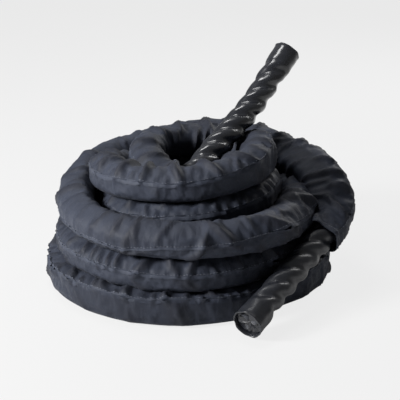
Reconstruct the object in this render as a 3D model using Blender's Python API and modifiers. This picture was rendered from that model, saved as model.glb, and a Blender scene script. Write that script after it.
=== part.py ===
"""Battle rope: a three-strand rope in a loose woven sleeve, coiled up, with a shrink-film grip on each end.

Run with: blender --background --python part.py
Metres, +Z up. The origin is the middle of the footprint, on the floor.
"""

import math

import bmesh
import bpy
import numpy as np
from mathutils import Vector

# Rope
ROPE_ACROSS = 0.040  # over the three strands
ROPE_LAY = 0.115  # along the rope for one full turn of a strand
STRAND_SHARE = 0.464  # radius of one strand, of the rope's radius
GRIPPED_SHARE = 0.955  # how far the strands reach where the film squeezes them, likewise
GROOVE_SHARE = 0.60  # and the grooves between them
ROPE_STEP = 0.0105  # between sections inside a grip

# Sleeve
SLEEVE_WIDE = 0.062
SLEEVE_HIGH = 0.0515
SLEEVE_WALL = 0.0012
BINDING_WIDTH = 0.009
BINDING_WALL = 0.0008

# Grips, which are shrunk film over the rope's ends
GRIP_LENGTH = 0.365
FILM_WALL = 0.0024
FILM_GROOVE_SHARE = 0.15  # depth between two strands, of the rope's radius
FILM_GROOVE_POWER = 2.0
FLARE_LENGTH = 0.034  # smooth stretch at the free end, past the last strand's bulge
LIP_LENGTH = 0.006
LIP_SPREAD = 0.0009
LOWER_BARE = 0.237  # from the tip to the sleeve's mouth
UPPER_BARE = 0.350
STRAIGHT_END = 0.046  # of the route at each tip

# End caps and the tape that stops the strands fraying
CAP_THICKNESS = 0.0026
CAP_RECESS = 0.0045
CAP_DISH = 0.0012
TAPE_WIDTH = 0.016
TAPE_WALL = 0.0015
TAPE_SETBACK = 0.006

# Fits
SEAT_GAP = 0.0004  # between pieces that touch
LAYER_GAP = 0.0014  # between a turn and the one under it
TURN_GAP = 0.0025  # between turns side by side
LEAST_GAP = 0.0004
MEASURE_STEP = 0.005  # between the points that the least gap is measured on

# The coil
COIL_REACH = 0.209  # radius of the bottom turn, at the sleeve's middle
TURN_POINTS = 24
FREE_STEP = 0.027  # between sections of the two free ends
SETTLE_ROUNDS = 120

# Pairs of the radius, as a share of COIL_REACH, and the height in layers, an eighth of a turn apart.
# A line is half a turn, and the first starts at the back, counterclockwise seen from above. The
# turns go down the outside to the floor, inwards there, and back up to the top.
TURN_SHARES = (
    (0.95, 2.86), (0.88, 2.58), (0.84, 2.08), (0.88, 1.99),
    (0.90, 1.99), (0.88, 1.99), (0.84, 1.99), (0.84, 1.99),
    (0.89, 1.99), (0.90, 1.57), (0.89, 1.00), (0.91, 1.00),
    (0.92, 1.00), (0.85, 1.00), (0.84, 1.00), (0.87, 1.00),
    (0.93, 1.00), (0.98, 0.55), (0.99, 0.00), (1.00, 0.00),
    (1.00, 0.00), (1.01, 0.00), (1.05, 0.00), (0.98, 0.00),
    (0.84, 0.00), (0.73, 0.00), (0.70, 0.00), (0.70, 0.00),
    (0.70, 0.00), (0.68, 0.00), (0.66, 0.00), (0.57, 0.00),
    (0.45, 0.00), (0.40, 0.00), (0.40, 0.00), (0.40, 0.00),
    (0.40, 0.02), (0.41, 0.37), (0.47, 0.85), (0.55, 1.00),
    (0.60, 1.00), (0.62, 1.00), (0.62, 1.00), (0.62, 0.96),
    (0.62, 1.00), (0.55, 1.15), (0.47, 1.30), (0.38, 1.42),
    (0.33, 1.52), (0.41, 1.66), (0.52, 1.86), (0.58, 2.00),
    (0.61, 2.20), (0.64, 2.38), (0.68, 2.52), (0.69, 2.40),
    (0.67, 2.30), (0.65, 2.48), (0.63, 2.90), (0.60, 3.06),
    (0.58, 3.14), (0.55, 3.26), (0.51, 3.40), (0.57, 3.26),
    (0.62, 3.20), (0.51, 3.28), (0.385, 3.22), (0.32, 3.02),
)

# The free ends, chosen by hand: x and y as shares of COIL_REACH, then the height in layers.
LOWER_END_SHARES = (
    (0.443, -1.304, 0.036),
    (0.647, -1.006, 0.466),
    (0.851, -0.709, 0.896),
    (1.055, -0.411, 1.326),
    (1.139, -0.280, 1.515),
    (1.184, -0.150, 1.735),
    (1.176, 0.000, 2.051),
    (1.090, 0.191, 2.357),
    (0.935, 0.431, 2.560),
    (0.705, 0.745, 2.710),
    (0.400, 0.945, 2.860),
)
UPPER_END_SHARES = (
    (-0.029, -0.194, 2.955),
    (0.086, -0.103, 3.174),
    (0.191, 0.079, 3.500),
    (0.368, 0.325, 4.033),
    (0.541, 0.565, 4.616),
    (0.698, 0.766, 5.339),
    (0.855, 0.933, 6.124),
)

# Corners of the sleeve's section: outwards and upwards, as shares of half its width and height.
# The first two hold the flat that the coil stands on, and the fourth is the seam's crease.
SECTION_SHARES = ((-0.36, -1.0), (0.38, -1.0), (1.0, -0.06), (0.66, 0.80), (-0.16, 1.0), (-1.0, -0.04))
# The same where a grip fills it.
FULL_SHARES = ((-0.44, -1.0), (0.38, -1.0), (1.0, -0.06), (0.66, 0.80), (-0.42, 1.0), (-1.0, -0.04))

LAYER = SLEEVE_HIGH + LAYER_GAP
ROPE_RADIUS = ROPE_ACROSS / 2
STRAND_RADIUS = ROPE_RADIUS * STRAND_SHARE
FILM_REACH = ROPE_RADIUS + SEAT_GAP + FILM_WALL
CORE_SIDES = 6
FILM_SIDES = 15
LOBES = 3
GRIPPED_RADIUS = ROPE_RADIUS * GRIPPED_SHARE
TAPE_REACH = GRIPPED_RADIUS + SEAT_GAP + TAPE_WALL
FLARE_REACH = (TAPE_REACH + SEAT_GAP + FILM_WALL) / math.cos(math.pi / FILM_SIDES)

# How the loose rope is pushed apart where the wanted route would cross itself
CORNER_POWER = 3.0
PUSH_SHARE = 0.8
SOFTEN_SHARE = 0.35
FIRM_SHARE = 0.1
FIRM_FROM_SHARE = 0.8
SOFTEN_REACH = 4

COLLECTION = "battle_rope"
ROOT = "battle_rope_root"


def clear_scene():
    for obj in list(bpy.data.objects):
        bpy.data.objects.remove(obj, do_unlink=True)


def plain_material(name, colour, roughness, metallic=0.0):
    material = bpy.data.materials.new(name)
    material.use_nodes = True
    shader = material.node_tree.nodes["Principled BSDF"]
    shader.inputs["Base Color"].default_value = (*colour, 1.0)
    shader.inputs["Roughness"].default_value = roughness
    shader.inputs["Metallic"].default_value = metallic
    return material


def run_lengths(line):
    """How far along the line each of its points is."""
    steps = np.linalg.norm(np.diff(line, axis=0), axis=1)
    return np.concatenate([[0.0], np.cumsum(steps)])


def read_line(line, at):
    """The line's points at the given distances along it."""
    lengths = run_lengths(line)
    return np.stack([np.interp(at, lengths, line[:, axis]) for axis in range(line.shape[1])], axis=1)


def smooth_line(points, per_step):
    """A Catmull-Rom curve through the points."""
    points = np.asarray(points, float)
    padded = np.vstack([2 * points[0] - points[1], points, 2 * points[-1] - points[-2]])
    curve = []
    for before, start, end, after in zip(padded, padded[1:], padded[2:], padded[3:]):
        for t in np.arange(per_step) / per_step:
            bend = 2 * before - 5 * start + 4 * end - after
            twist = 3 * start - before - 3 * end + after
            curve.append((2 * start + (end - before) * t + bend * t**2 + twist * t**3) / 2)
    curve.append(points[-1])
    return np.array(curve)


def place_shares(rows):
    """Free-end rows, as points at the sleeve's middle."""
    rows = np.asarray(rows, float)
    return rows * (COIL_REACH, COIL_REACH, LAYER) + (0, 0, SLEEVE_HIGH / 2)


def coil_points():
    """The turns, at TURN_POINTS a turn."""
    eighths = smooth_line(TURN_SHARES, TURN_POINTS // 8)
    angles = math.pi / 2 + np.arange(len(eighths)) * math.tau / TURN_POINTS
    radius = eighths[:, 0] * COIL_REACH
    height = eighths[:, 1] * LAYER + SLEEVE_HIGH / 2
    return np.stack([radius * np.cos(angles), radius * np.sin(angles), height], axis=1)


def wanted_route():
    """Section middles from the lower tip to the upper one, before the turns settle."""
    coil = coil_points()
    eighth = TURN_POINTS // 8
    # One coil point past each join guides the curve into the coil, and is then left out.
    lower_points = np.vstack([place_shares(LOWER_END_SHARES), coil[: eighth + 1 : eighth]])
    upper_points = np.vstack([coil[-eighth - 1 :: eighth], place_shares(UPPER_END_SHARES)])
    lower = smooth_line(lower_points, TURN_POINTS)[:-TURN_POINTS]
    upper = smooth_line(upper_points, TURN_POINTS)[TURN_POINTS:]
    path = np.vstack([lower[:-1], coil, upper[1:]])
    lengths = run_lengths(path)
    coil_at = lengths[len(lower) - 1 :][: len(coil)]
    lower_at = free_stations(coil_at[0], LOWER_BARE)
    upper_at = lengths[-1] - free_stations(lengths[-1] - coil_at[-1], UPPER_BARE)[::-1]
    between = coil_at[(coil_at > lower_at[-1]) & (coil_at < upper_at[0])]
    return read_line(path, np.concatenate([lower_at, between, upper_at]))


def free_stations(length, mouth):
    """Distances from a tip: close inside the grip, wider beyond, with one at the sleeve's mouth."""
    hidden_end = max(GRIP_LENGTH, mouth)
    grip_steps = round((GRIP_LENGTH - mouth) / ROPE_STEP)
    near = np.linspace(0, mouth, round(mouth / ROPE_STEP) + 1)
    hidden = np.linspace(mouth, hidden_end, max(grip_steps, 1) + 1)
    free_end = max(length, hidden_end)
    far = np.linspace(hidden_end, free_end, max(round((free_end - hidden_end) / FREE_STEP), 1) + 1)
    return np.unique(np.concatenate([near, (min(GRIP_LENGTH, hidden_end),), hidden, far]))


def crowding(line, half_wide, half_high, apart):
    """For each pair of points, their offset and how near they are: under 1 is too near."""
    offset = line[:, None] - line[None]
    flat = np.hypot(offset[..., 0], offset[..., 1])
    wide = half_wide[:, None] + half_wide[None]
    high = half_high[:, None] + half_high[None]
    across = flat / wide
    up = np.abs(offset[..., 2]) / high
    near = (across**CORNER_POWER + up**CORNER_POWER) ** (1 / CORNER_POWER)
    near[~apart] = np.inf
    return offset, flat, wide, high, across, up, near


def push_apart(line, half_wide, half_high, apart):
    """The way out for each point from all that it crowds."""
    offset, flat, wide, high, across, up, near = crowding(line, half_wide, half_high, apart)
    depth = np.clip(1 - near, 0, None)
    slope = CORNER_POWER - 1
    side_way = (across / near) ** slope / wide
    up_way = (up / near) ** slope / high
    weight = depth / (side_way**2 + up_way**2 + (near == np.inf))
    sideways = (weight * side_way / np.where(flat > 0, flat, 1))[..., None] * offset[..., :2]
    upwards = (weight * up_way * np.sign(offset[..., 2]))[..., None]
    total = np.concatenate([sideways, upwards], axis=2).sum(axis=1)
    deepest = np.where(depth.max(axis=1) > 0, depth.max(axis=1), 1)
    crowd = np.maximum(depth.sum(axis=1) / deepest, 1)
    return total / crowd[:, None]


def soften(move):
    """The moves averaged with their neighbours', so that the rope stays smooth."""
    weights = SOFTEN_REACH + 1 - np.abs(np.arange(-SOFTEN_REACH, SOFTEN_REACH + 1))
    padded = np.pad(move, ((SOFTEN_REACH, SOFTEN_REACH), (0, 0)), mode="edge")
    weights = weights / weights.sum()
    return np.stack([np.convolve(padded[:, axis], weights, "valid") for axis in range(3)], axis=1)


def settle(route):
    """Moves the turns out of each other and onto the floor, and leaves the two grips where they are."""
    lengths = run_lengths(route)
    total = lengths[-1]
    at = np.linspace(0, total, round(total / (SLEEVE_WIDE / 3)))
    start = read_line(route, at)
    bare = (at < LOWER_BARE) | (at > total - UPPER_BARE)
    half_wide = np.where(bare, FLARE_REACH, (SLEEVE_WIDE + TURN_GAP) / 2)
    half_high = np.where(bare, FLARE_REACH, LAYER / 2)
    apart = np.abs(at[:, None] - at[None]) > 2 * SLEEVE_WIDE
    from_grip = np.minimum(at - LOWER_BARE - SLEEVE_WIDE, total - UPPER_BARE - at)
    loose = np.clip(from_grip / (2 * SLEEVE_WIDE), 0, 1)[:, None]
    move = np.zeros_like(start)
    for turn in range(SETTLE_ROUNDS):
        move += PUSH_SHARE * loose * push_apart(start + move, half_wide, half_high, apart)
        share = SOFTEN_SHARE if turn < FIRM_FROM_SHARE * SETTLE_ROUNDS else FIRM_SHARE
        move = np.where(loose > 0, (1 - share) * move + share * soften(move), 0)
        move[:, 2] = np.maximum(move[:, 2], np.where(bare, -np.inf, SLEEVE_HIGH / 2 - start[:, 2]))
    return route + np.stack([np.interp(lengths, at, move[:, axis]) for axis in range(3)], axis=1)


def straighten_ends(route):
    """Makes the route straight at each tip, where the tape and the cap sit."""
    for line in (route, route[::-1]):
        lengths = run_lengths(line)
        last = int(np.searchsorted(lengths, STRAIGHT_END))
        way = line[last] - line[last + 1]
        way = way / np.linalg.norm(way)
        line[:last] = line[last] + way * (lengths[last] - lengths[:last])[:, None]
    return route


def section_axes(line):
    """Along, outwards and upwards at each point of the line."""
    steps = np.diff(line, axis=0)
    steps /= np.linalg.norm(steps, axis=1)[:, None]
    along = np.vstack([steps[:1], steps[1:] + steps[:-1], steps[-1:]])
    along /= np.linalg.norm(along, axis=1)[:, None]
    out = np.cross(along, (0, 0, 1))
    out /= np.linalg.norm(out, axis=1)[:, None]
    return along, out, np.cross(out, along)


def sweep(line, outlines):
    """Places one outline, of outwards and upwards sizes, square to the line at each of its points."""
    _, out, up = section_axes(line)
    return line[:, None] + outlines[..., :1] * out[:, None] + outlines[..., 1:] * up[:, None]


def loft(name, rings, closed):
    """A tube through the rings, as an object. A closed one has its two ends filled."""
    mesh = bmesh.new()
    rows = [[mesh.verts.new(corner) for corner in ring] for ring in rings]
    sides = len(rows[0])
    for near, far in zip(rows, rows[1:]):
        for side in range(sides):
            turned = (side + 1) % sides
            mesh.faces.new((near[side], near[turned], far[turned], far[side]))
    if closed:
        mesh.faces.new(rows[0][::-1])
        mesh.faces.new(rows[-1])
    bmesh.ops.recalc_face_normals(mesh, faces=mesh.faces)
    data = bpy.data.meshes.new(name)
    mesh.to_mesh(data)
    mesh.free()
    return bpy.data.objects.new(name, data)


def add_wall(obj, wall):
    """Gives an open tube its wall, inwards."""
    modifier = obj.modifiers.new("wall", "SOLIDIFY")
    modifier.thickness = wall
    modifier.offset = -1
    modifier.use_even_offset = True


def oval_outline(grow=0.0, full=0.0):
    """The sleeve's section, slack or filled by a grip. The growth is outwards, and measured at the flat."""
    half = np.array((SLEEVE_WIDE, SLEEVE_HIGH)) / 2
    shares = (1 - full) * np.array(SECTION_SHARES) + full * np.array(FULL_SHARES)
    return shares * half * (1 + grow / half[1])


def sleeve_outlines(tip_distance):
    """The sleeve's section at each distance from the nearer tip: full over a grip, then slack."""
    full = 1 - np.clip((tip_distance - GRIP_LENGTH) / SLEEVE_WIDE, 0, 1)
    return np.array([oval_outline(full=share) for share in full])


def strand_reach(angle):
    """How far the film's inside is from the rope's middle: drawn in between the three strands."""
    groove = (1 - math.cos(LOBES * angle)) / 2
    return ROPE_RADIUS * (1 - FILM_GROOVE_SHARE * groove**FILM_GROOVE_POWER)


def seat_drop(reach):
    """How far a round piece can lie below the sleeve's middle before it meets one of its sides."""
    corners = oval_outline(full=1.0)
    drops = []
    for first, second in zip(corners, np.roll(corners, -1, axis=0)):
        way = (second - first) / np.linalg.norm(second - first)
        room = first @ (way[1], -way[0]) - SLEEVE_WALL - SEAT_GAP - reach
        if way[0] > 0:
            drops.append(room / way[0])
    return min(drops)


def core_drop(tip_distance):
    """How far the rope lies below the sleeve's middle: on the film in a grip, on the cloth elsewhere."""
    in_grip = seat_drop(FILM_REACH)
    flat_reach = ROPE_RADIUS * math.cos(math.pi / CORE_SIDES)
    in_coil = SLEEVE_HIGH / 2 - SLEEVE_WALL - SEAT_GAP - flat_reach
    return np.interp(tip_distance, (GRIP_LENGTH, GRIP_LENGTH + SLEEVE_WIDE), (in_grip, in_coil))


def rope_line(route):
    """The rope's own middle, which lies on the sleeve's floor."""
    _, _, up = section_axes(route)
    return route - up * core_drop(tip_distances(route))[:, None]


def tip_distances(line):
    lengths = run_lengths(line)
    return np.minimum(lengths, lengths[-1] - lengths)


def core_outlines(lengths, total):
    """Six-sided, and three-lobed where a grip's film shows the strands."""
    outlines = []
    for length in lengths:
        tip = min(length, total - length)
        lobed = 1 - np.clip((tip - GRIP_LENGTH) / SLEEVE_WIDE, 0, 1)
        turn = strand_turn(length, total) if tip < GRIP_LENGTH else 0.0
        corners = []
        for side in range(CORE_SIDES):
            angle = math.tau * side / CORE_SIDES
            gripped = GROOVE_SHARE if side % 2 else GRIPPED_SHARE
            reach = ROPE_RADIUS * (1 - lobed * (1 - gripped))
            corners.append((reach * math.cos(angle + turn), reach * math.sin(angle + turn)))
        outlines.append(corners)
    return np.array(outlines)


def strand_turn(length, total):
    """The angle of the first strand, which turns with the lay and is level where a grip ends."""
    from_middle = length - GRIP_LENGTH if length < total / 2 else length - (total - GRIP_LENGTH)
    return -math.tau * from_middle / ROPE_LAY


def film_outlines(lengths, total):
    """The film's outer skin: taut over the strands, then round, then spread at the lip."""
    outlines = []
    for length in lengths:
        tip = min(length, total - length)
        round_share = 1 - np.clip((tip - FLARE_LENGTH) / (FLARE_LENGTH / 2), 0, 1)
        spread = LIP_SPREAD * (1 - np.clip(tip / LIP_LENGTH, 0, 1))
        turn = strand_turn(np.clip(length, FLARE_LENGTH, total - FLARE_LENGTH), total)
        corners = []
        for side in range(FILM_SIDES):
            angle = math.tau * side / FILM_SIDES
            taut = strand_reach(angle) + SEAT_GAP + FILM_WALL
            reach = taut + round_share * (FLARE_REACH - taut) + spread
            corners.append((reach * math.cos(angle + turn), reach * math.sin(angle + turn)))
        outlines.append(corners)
    return np.array(outlines)


def make_sleeve(route):
    lengths = run_lengths(route)
    covered = (lengths > LOWER_BARE - SEAT_GAP) & (lengths < lengths[-1] - UPPER_BARE + SEAT_GAP)
    line = route[covered]
    lengths = run_lengths(line)
    past_binding = BINDING_WIDTH + SEAT_GAP
    at = np.unique(np.append(lengths, (past_binding, lengths[-1] - past_binding)))
    line = read_line(line, at)
    outlines = sleeve_outlines(np.minimum(at + LOWER_BARE, at[-1] - at + UPPER_BARE))
    sleeve = loft("sleeve", sweep(line, outlines), closed=False)
    add_wall(sleeve, SLEEVE_WALL)
    return sleeve, line


def make_binding(name, sleeve_line, start):
    """The tape sewn over one of the sleeve's mouths, from the given distance along its line."""
    line = read_line(sleeve_line, start + np.array((0, BINDING_WIDTH / 2, BINDING_WIDTH)))
    outline = oval_outline(SEAT_GAP + BINDING_WALL, full=1.0)
    binding = loft(name, sweep(line, np.tile(outline, (len(line), 1, 1))), closed=False)
    add_wall(binding, BINDING_WALL)
    return binding


def make_core(line):
    """The rope, cut back from the tips so that the caps close the grips over it."""
    cut = CAP_RECESS + CAP_THICKNESS + SEAT_GAP
    lengths = run_lengths(line)
    total = lengths[-1]
    kept = lengths[(lengths > cut + SEAT_GAP) & (lengths < total - cut - SEAT_GAP)]
    stations = np.concatenate([[cut], kept, [total - cut]])
    rings = sweep(read_line(line, stations), core_outlines(stations, total))
    return loft("rope_core", rings, closed=True)


def make_grip(name, line, at_start):
    """The film over one end."""
    lengths = run_lengths(line)
    total = lengths[-1]
    covered = (lengths if at_start else total - lengths) < GRIP_LENGTH + SEAT_GAP
    extra = LIP_LENGTH if at_start else total - LIP_LENGTH
    stations = np.unique(np.append(lengths[covered], extra))
    outlines = film_outlines(stations, total)
    grip = loft(name, sweep(read_line(line, stations), outlines), closed=False)
    add_wall(grip, FILM_WALL)
    return grip


def turned(name, profile, closed_profile):
    """A solid of revolution about its own Z axis. The profile's rows are radius and height."""
    mesh = bmesh.new()
    corners = [mesh.verts.new((radius, 0, height)) for radius, height in profile]
    pairs = list(zip(corners, corners[1:]))
    if closed_profile:
        pairs.append((corners[-1], corners[0]))
    for pair in pairs:
        mesh.edges.new(pair)
    data = bpy.data.meshes.new(name)
    mesh.to_mesh(data)
    mesh.free()
    obj = bpy.data.objects.new(name, data)
    screw = obj.modifiers.new("turn", "SCREW")
    screw.steps = screw.render_steps = TURN_POINTS
    screw.use_merge_vertices = True
    screw.merge_threshold = SEAT_GAP / 100
    return obj


def make_cap(name):
    """The plug of film that closes the end, a little dished. Its outer face is at its origin."""
    profile = (
        (0, -CAP_DISH),
        (TAPE_REACH / 2, -CAP_DISH / 2),
        (TAPE_REACH, 0),
        (TAPE_REACH, -CAP_THICKNESS),
        (0, -CAP_THICKNESS),
    )
    return turned(name, profile, closed_profile=False)


def make_tape(name):
    """The tape wound round the strands. Its outer edge is at its origin."""
    inner = GRIPPED_RADIUS + SEAT_GAP
    profile = ((TAPE_REACH, 0), (TAPE_REACH, -TAPE_WIDTH), (inner, -TAPE_WIDTH), (inner, 0))
    return turned(name, profile, closed_profile=True)


def seat_at_tip(obj, tip, way, setback):
    """Turns the object's Z axis along the way out of the rope, and sets it back from the tip."""
    obj.location = Vector(tip - way * setback)
    obj.rotation_mode = "QUATERNION"
    obj.rotation_quaternion = Vector(way).to_track_quat("Z", "Y")


def section_gap(points, near_point, out, up):
    """Distance from points to the sleeve's section at another place. Under 0 is inside it."""
    outline = oval_outline()
    edges = np.roll(outline, -1, axis=0) - outline
    normals = np.stack([edges[:, 1], -edges[:, 0]], axis=1)
    normals /= np.linalg.norm(normals, axis=1)[:, None]
    reach = (normals * outline).sum(axis=1)
    offset = points - near_point
    flat = np.stack([(offset * out).sum(axis=-1), (offset * up).sum(axis=-1)], axis=-1)
    return (flat @ normals.T - reach).max(axis=-1)


def least_gap(line):
    """The least gap between the sleeve and itself, from points on its corners and edges."""
    lengths = run_lengths(line)
    at = np.linspace(0, lengths[-1], round(lengths[-1] / MEASURE_STEP))
    fine = read_line(line, at)
    along, out, up = section_axes(fine)
    outline = oval_outline()
    middles = (outline + np.roll(outline, -1, axis=0)) / 2
    around = np.vstack([outline, middles])
    skin = fine[:, None] + around[:, :1] * out[:, None] + around[:, 1:] * up[:, None]
    found = np.inf
    for place in range(len(fine)):
        offset = skin - fine[place]
        ahead = np.abs((offset * along[place]).sum(axis=-1))
        beside = (np.abs(at - at[place]) > 2 * SLEEVE_WIDE)[:, None] & (ahead < MEASURE_STEP)
        if beside.any():
            gaps = section_gap(skin[beside], fine[place], out[place], up[place])
            found = min(found, gaps.min())
    return found


def build():
    clear_scene()
    collection = bpy.data.collections.new(COLLECTION)
    bpy.context.scene.collection.children.link(collection)
    route = straighten_ends(settle(wanted_route()))
    line = rope_line(route)
    cloth = plain_material("woven_nylon", (0.052, 0.058, 0.075), 0.82)
    film = plain_material("shrink_film", (0.014, 0.015, 0.018), 0.32)
    fibre = plain_material("polyester_rope", (0.03, 0.03, 0.032), 0.75)
    binding_cloth = plain_material("binding_tape", (0.03, 0.033, 0.042), 0.85)
    tape = plain_material("whipping_tape", (0.02, 0.02, 0.022), 0.5)
    sleeve, sleeve_line = make_sleeve(route)
    sleeve_length = run_lengths(sleeve_line)[-1]
    pieces = [
        (sleeve, cloth),
        (make_core(line), fibre),
        (make_binding("binding_lower", sleeve_line, start=0), binding_cloth),
        (make_binding("binding_upper", sleeve_line, sleeve_length - BINDING_WIDTH), binding_cloth),
        (make_grip("grip_lower", line, at_start=True), film),
        (make_grip("grip_upper", line, at_start=False), film),
    ]
    for end, tip, inner in (("lower", line[0], line[1]), ("upper", line[-1], line[-2])):
        way = (tip - inner) / np.linalg.norm(tip - inner)
        cap = make_cap(f"end_cap_{end}")
        seat_at_tip(cap, tip, way, CAP_RECESS)
        whipping = make_tape(f"whipping_{end}")
        seat_at_tip(whipping, tip, way, CAP_RECESS + CAP_THICKNESS + TAPE_SETBACK)
        pieces += [(cap, film), (whipping, tape)]
    root = bpy.data.objects.new(ROOT, None)
    collection.objects.link(root)
    for obj, material in pieces:
        collection.objects.link(obj)
        obj.data.materials.append(material)
        obj.data.shade_smooth()
        obj.parent = root
    centre_footprint(root, [obj for obj, _ in pieces])
    gap = least_gap(sleeve_line)
    rope_length = run_lengths(line)[-1]
    print(f"rope length {rope_length:.3f} m, sleeve length {sleeve_length:.3f} m")
    print(f"sleeve's least gap to itself {gap * 1000:.2f} mm, wanted over {LEAST_GAP * 1000:.1f} mm")


def centre_footprint(root, objects):
    """Moves the root so that the origin is the middle of the footprint, on the floor."""
    bpy.context.view_layer.update()
    graph = bpy.context.evaluated_depsgraph_get()
    corners = []
    for obj in objects:
        evaluated = obj.evaluated_get(graph)
        corners += [evaluated.matrix_world @ vertex.co for vertex in evaluated.data.vertices]
    low = Vector([min(corner[axis] for corner in corners) for axis in range(3)])
    high = Vector([max(corner[axis] for corner in corners) for axis in range(3)])
    root.location = (-(low.x + high.x) / 2, -(low.y + high.y) / 2, -low.z)


build()
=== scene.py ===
"""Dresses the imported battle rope: the laid rope, its wrinkled sleeve, the film grips and the studio.

Laid out as an add-on, and run as a script. Metres, +Z up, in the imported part's own frame.
"""

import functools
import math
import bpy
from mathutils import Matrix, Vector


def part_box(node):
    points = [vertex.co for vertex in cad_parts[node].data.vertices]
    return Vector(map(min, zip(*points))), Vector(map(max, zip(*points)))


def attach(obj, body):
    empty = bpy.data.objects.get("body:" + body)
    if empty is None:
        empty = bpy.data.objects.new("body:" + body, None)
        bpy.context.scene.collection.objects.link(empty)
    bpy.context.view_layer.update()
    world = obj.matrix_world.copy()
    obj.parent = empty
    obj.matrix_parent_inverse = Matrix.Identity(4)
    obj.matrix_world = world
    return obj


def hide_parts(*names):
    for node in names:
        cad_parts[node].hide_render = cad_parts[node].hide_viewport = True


bl_info = {
    "name": "Battle rope",
    "version": (1, 0, 0),
    "blender": (4, 5, 0),
    "location": "3D View > Sidebar > Rope",
    "description": "Dresses a coiled battle rope with its sleeve, seam, grips and studio",
    "category": "Object",
}

import bpy
import bmesh
import numpy as np
from bpy.props import FloatProperty, FloatVectorProperty, IntProperty, PointerProperty
from bpy.types import Operator, Panel, PropertyGroup
from mathutils import Vector

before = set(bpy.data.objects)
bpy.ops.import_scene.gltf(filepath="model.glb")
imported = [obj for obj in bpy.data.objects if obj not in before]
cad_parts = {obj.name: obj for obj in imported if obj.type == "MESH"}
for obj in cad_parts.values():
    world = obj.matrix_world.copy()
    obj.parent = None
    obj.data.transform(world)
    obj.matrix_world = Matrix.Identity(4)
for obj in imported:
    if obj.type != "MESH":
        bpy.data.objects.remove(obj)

BODY = "root"

# Rope, as in the part's source
ROPE_ACROSS = 0.040
ROPE_LAY = 0.115
STRAND_SHARE = 0.464
GRIPPED_SHARE = 0.955
ROPE_STEP = 0.0105
SLEEVE_WIDE = 0.062
SLEEVE_HIGH = 0.0515
SLEEVE_WALL = 0.0012
BINDING_WIDTH = 0.009
GRIP_LENGTH = 0.365
FILM_WALL = 0.0024
FLARE_LENGTH = 0.034
LIP_LENGTH = 0.006
LIP_SPREAD = 0.0009
LOWER_BARE = 0.237
UPPER_BARE = 0.350
STRAIGHT_END = 0.046
CAP_THICKNESS = 0.0026
CAP_RECESS = 0.0045
TAPE_WALL = 0.0015
SEAT_GAP = 0.0004
LAYER_GAP = 0.0014
TURN_GAP = 0.0025
COIL_REACH = 0.209
TURN_POINTS = 24
FREE_STEP = 0.027
SETTLE_ROUNDS = 120

# Half a turn a line, from the back, counterclockwise seen from above: radius as a share of
# COIL_REACH, and height in layers, an eighth of a turn apart.
TURN_SHARES = (
    (0.95, 2.86), (0.88, 2.58), (0.84, 2.08), (0.88, 1.99),
    (0.90, 1.99), (0.88, 1.99), (0.84, 1.99), (0.84, 1.99),
    (0.89, 1.99), (0.90, 1.57), (0.89, 1.00), (0.91, 1.00),
    (0.92, 1.00), (0.85, 1.00), (0.84, 1.00), (0.87, 1.00),
    (0.93, 1.00), (0.98, 0.55), (0.99, 0.00), (1.00, 0.00),
    (1.00, 0.00), (1.01, 0.00), (1.05, 0.00), (0.98, 0.00),
    (0.84, 0.00), (0.73, 0.00), (0.70, 0.00), (0.70, 0.00),
    (0.70, 0.00), (0.68, 0.00), (0.66, 0.00), (0.57, 0.00),
    (0.45, 0.00), (0.40, 0.00), (0.40, 0.00), (0.40, 0.00),
    (0.40, 0.02), (0.41, 0.37), (0.47, 0.85), (0.55, 1.00),
    (0.60, 1.00), (0.62, 1.00), (0.62, 1.00), (0.62, 0.96),
    (0.62, 1.00), (0.55, 1.15), (0.47, 1.30), (0.38, 1.42),
    (0.33, 1.52), (0.41, 1.66), (0.52, 1.86), (0.58, 2.00),
    (0.61, 2.20), (0.64, 2.38), (0.68, 2.52), (0.69, 2.40),
    (0.67, 2.30), (0.65, 2.48), (0.63, 2.90), (0.60, 3.06),
    (0.58, 3.14), (0.55, 3.26), (0.51, 3.40), (0.57, 3.26),
    (0.62, 3.20), (0.51, 3.28), (0.385, 3.22), (0.32, 3.02),
)

# The free ends: x and y as shares of COIL_REACH, then the height in layers.
LOWER_END_SHARES = (
    (0.443, -1.304, 0.036),
    (0.647, -1.006, 0.466),
    (0.851, -0.709, 0.896),
    (1.055, -0.411, 1.326),
    (1.139, -0.280, 1.515),
    (1.184, -0.150, 1.735),
    (1.176, 0.000, 2.051),
    (1.090, 0.191, 2.357),
    (0.935, 0.431, 2.560),
    (0.705, 0.745, 2.710),
    (0.400, 0.945, 2.860),
)
UPPER_END_SHARES = (
    (-0.029, -0.194, 2.955),
    (0.086, -0.103, 3.174),
    (0.191, 0.079, 3.500),
    (0.368, 0.325, 4.033),
    (0.541, 0.565, 4.616),
    (0.698, 0.766, 5.339),
    (0.855, 0.933, 6.124),
)
SECTION_SHARES = ((-0.36, -1.0), (0.38, -1.0), (1.0, -0.06), (0.66, 0.80), (-0.16, 1.0), (-1.0, -0.04))
FULL_SHARES = ((-0.44, -1.0), (0.38, -1.0), (1.0, -0.06), (0.66, 0.80), (-0.42, 1.0), (-1.0, -0.04))

LAYER = SLEEVE_HIGH + LAYER_GAP
ROPE_RADIUS = ROPE_ACROSS / 2
STRAND_RADIUS = ROPE_RADIUS * STRAND_SHARE
FILM_REACH = ROPE_RADIUS + SEAT_GAP + FILM_WALL
FILM_SIDES = 15
LOBES = 3
GRIPPED_RADIUS = ROPE_RADIUS * GRIPPED_SHARE
TAPE_REACH = GRIPPED_RADIUS + SEAT_GAP + TAPE_WALL
FLARE_REACH = (TAPE_REACH + SEAT_GAP + FILM_WALL) / math.cos(math.pi / FILM_SIDES)
CORNER_POWER = 3.0
PUSH_SHARE = 0.8
SOFTEN_SHARE = 0.35
FIRM_SHARE = 0.1
FIRM_FROM_SHARE = 0.8
SOFTEN_REACH = 4

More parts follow.
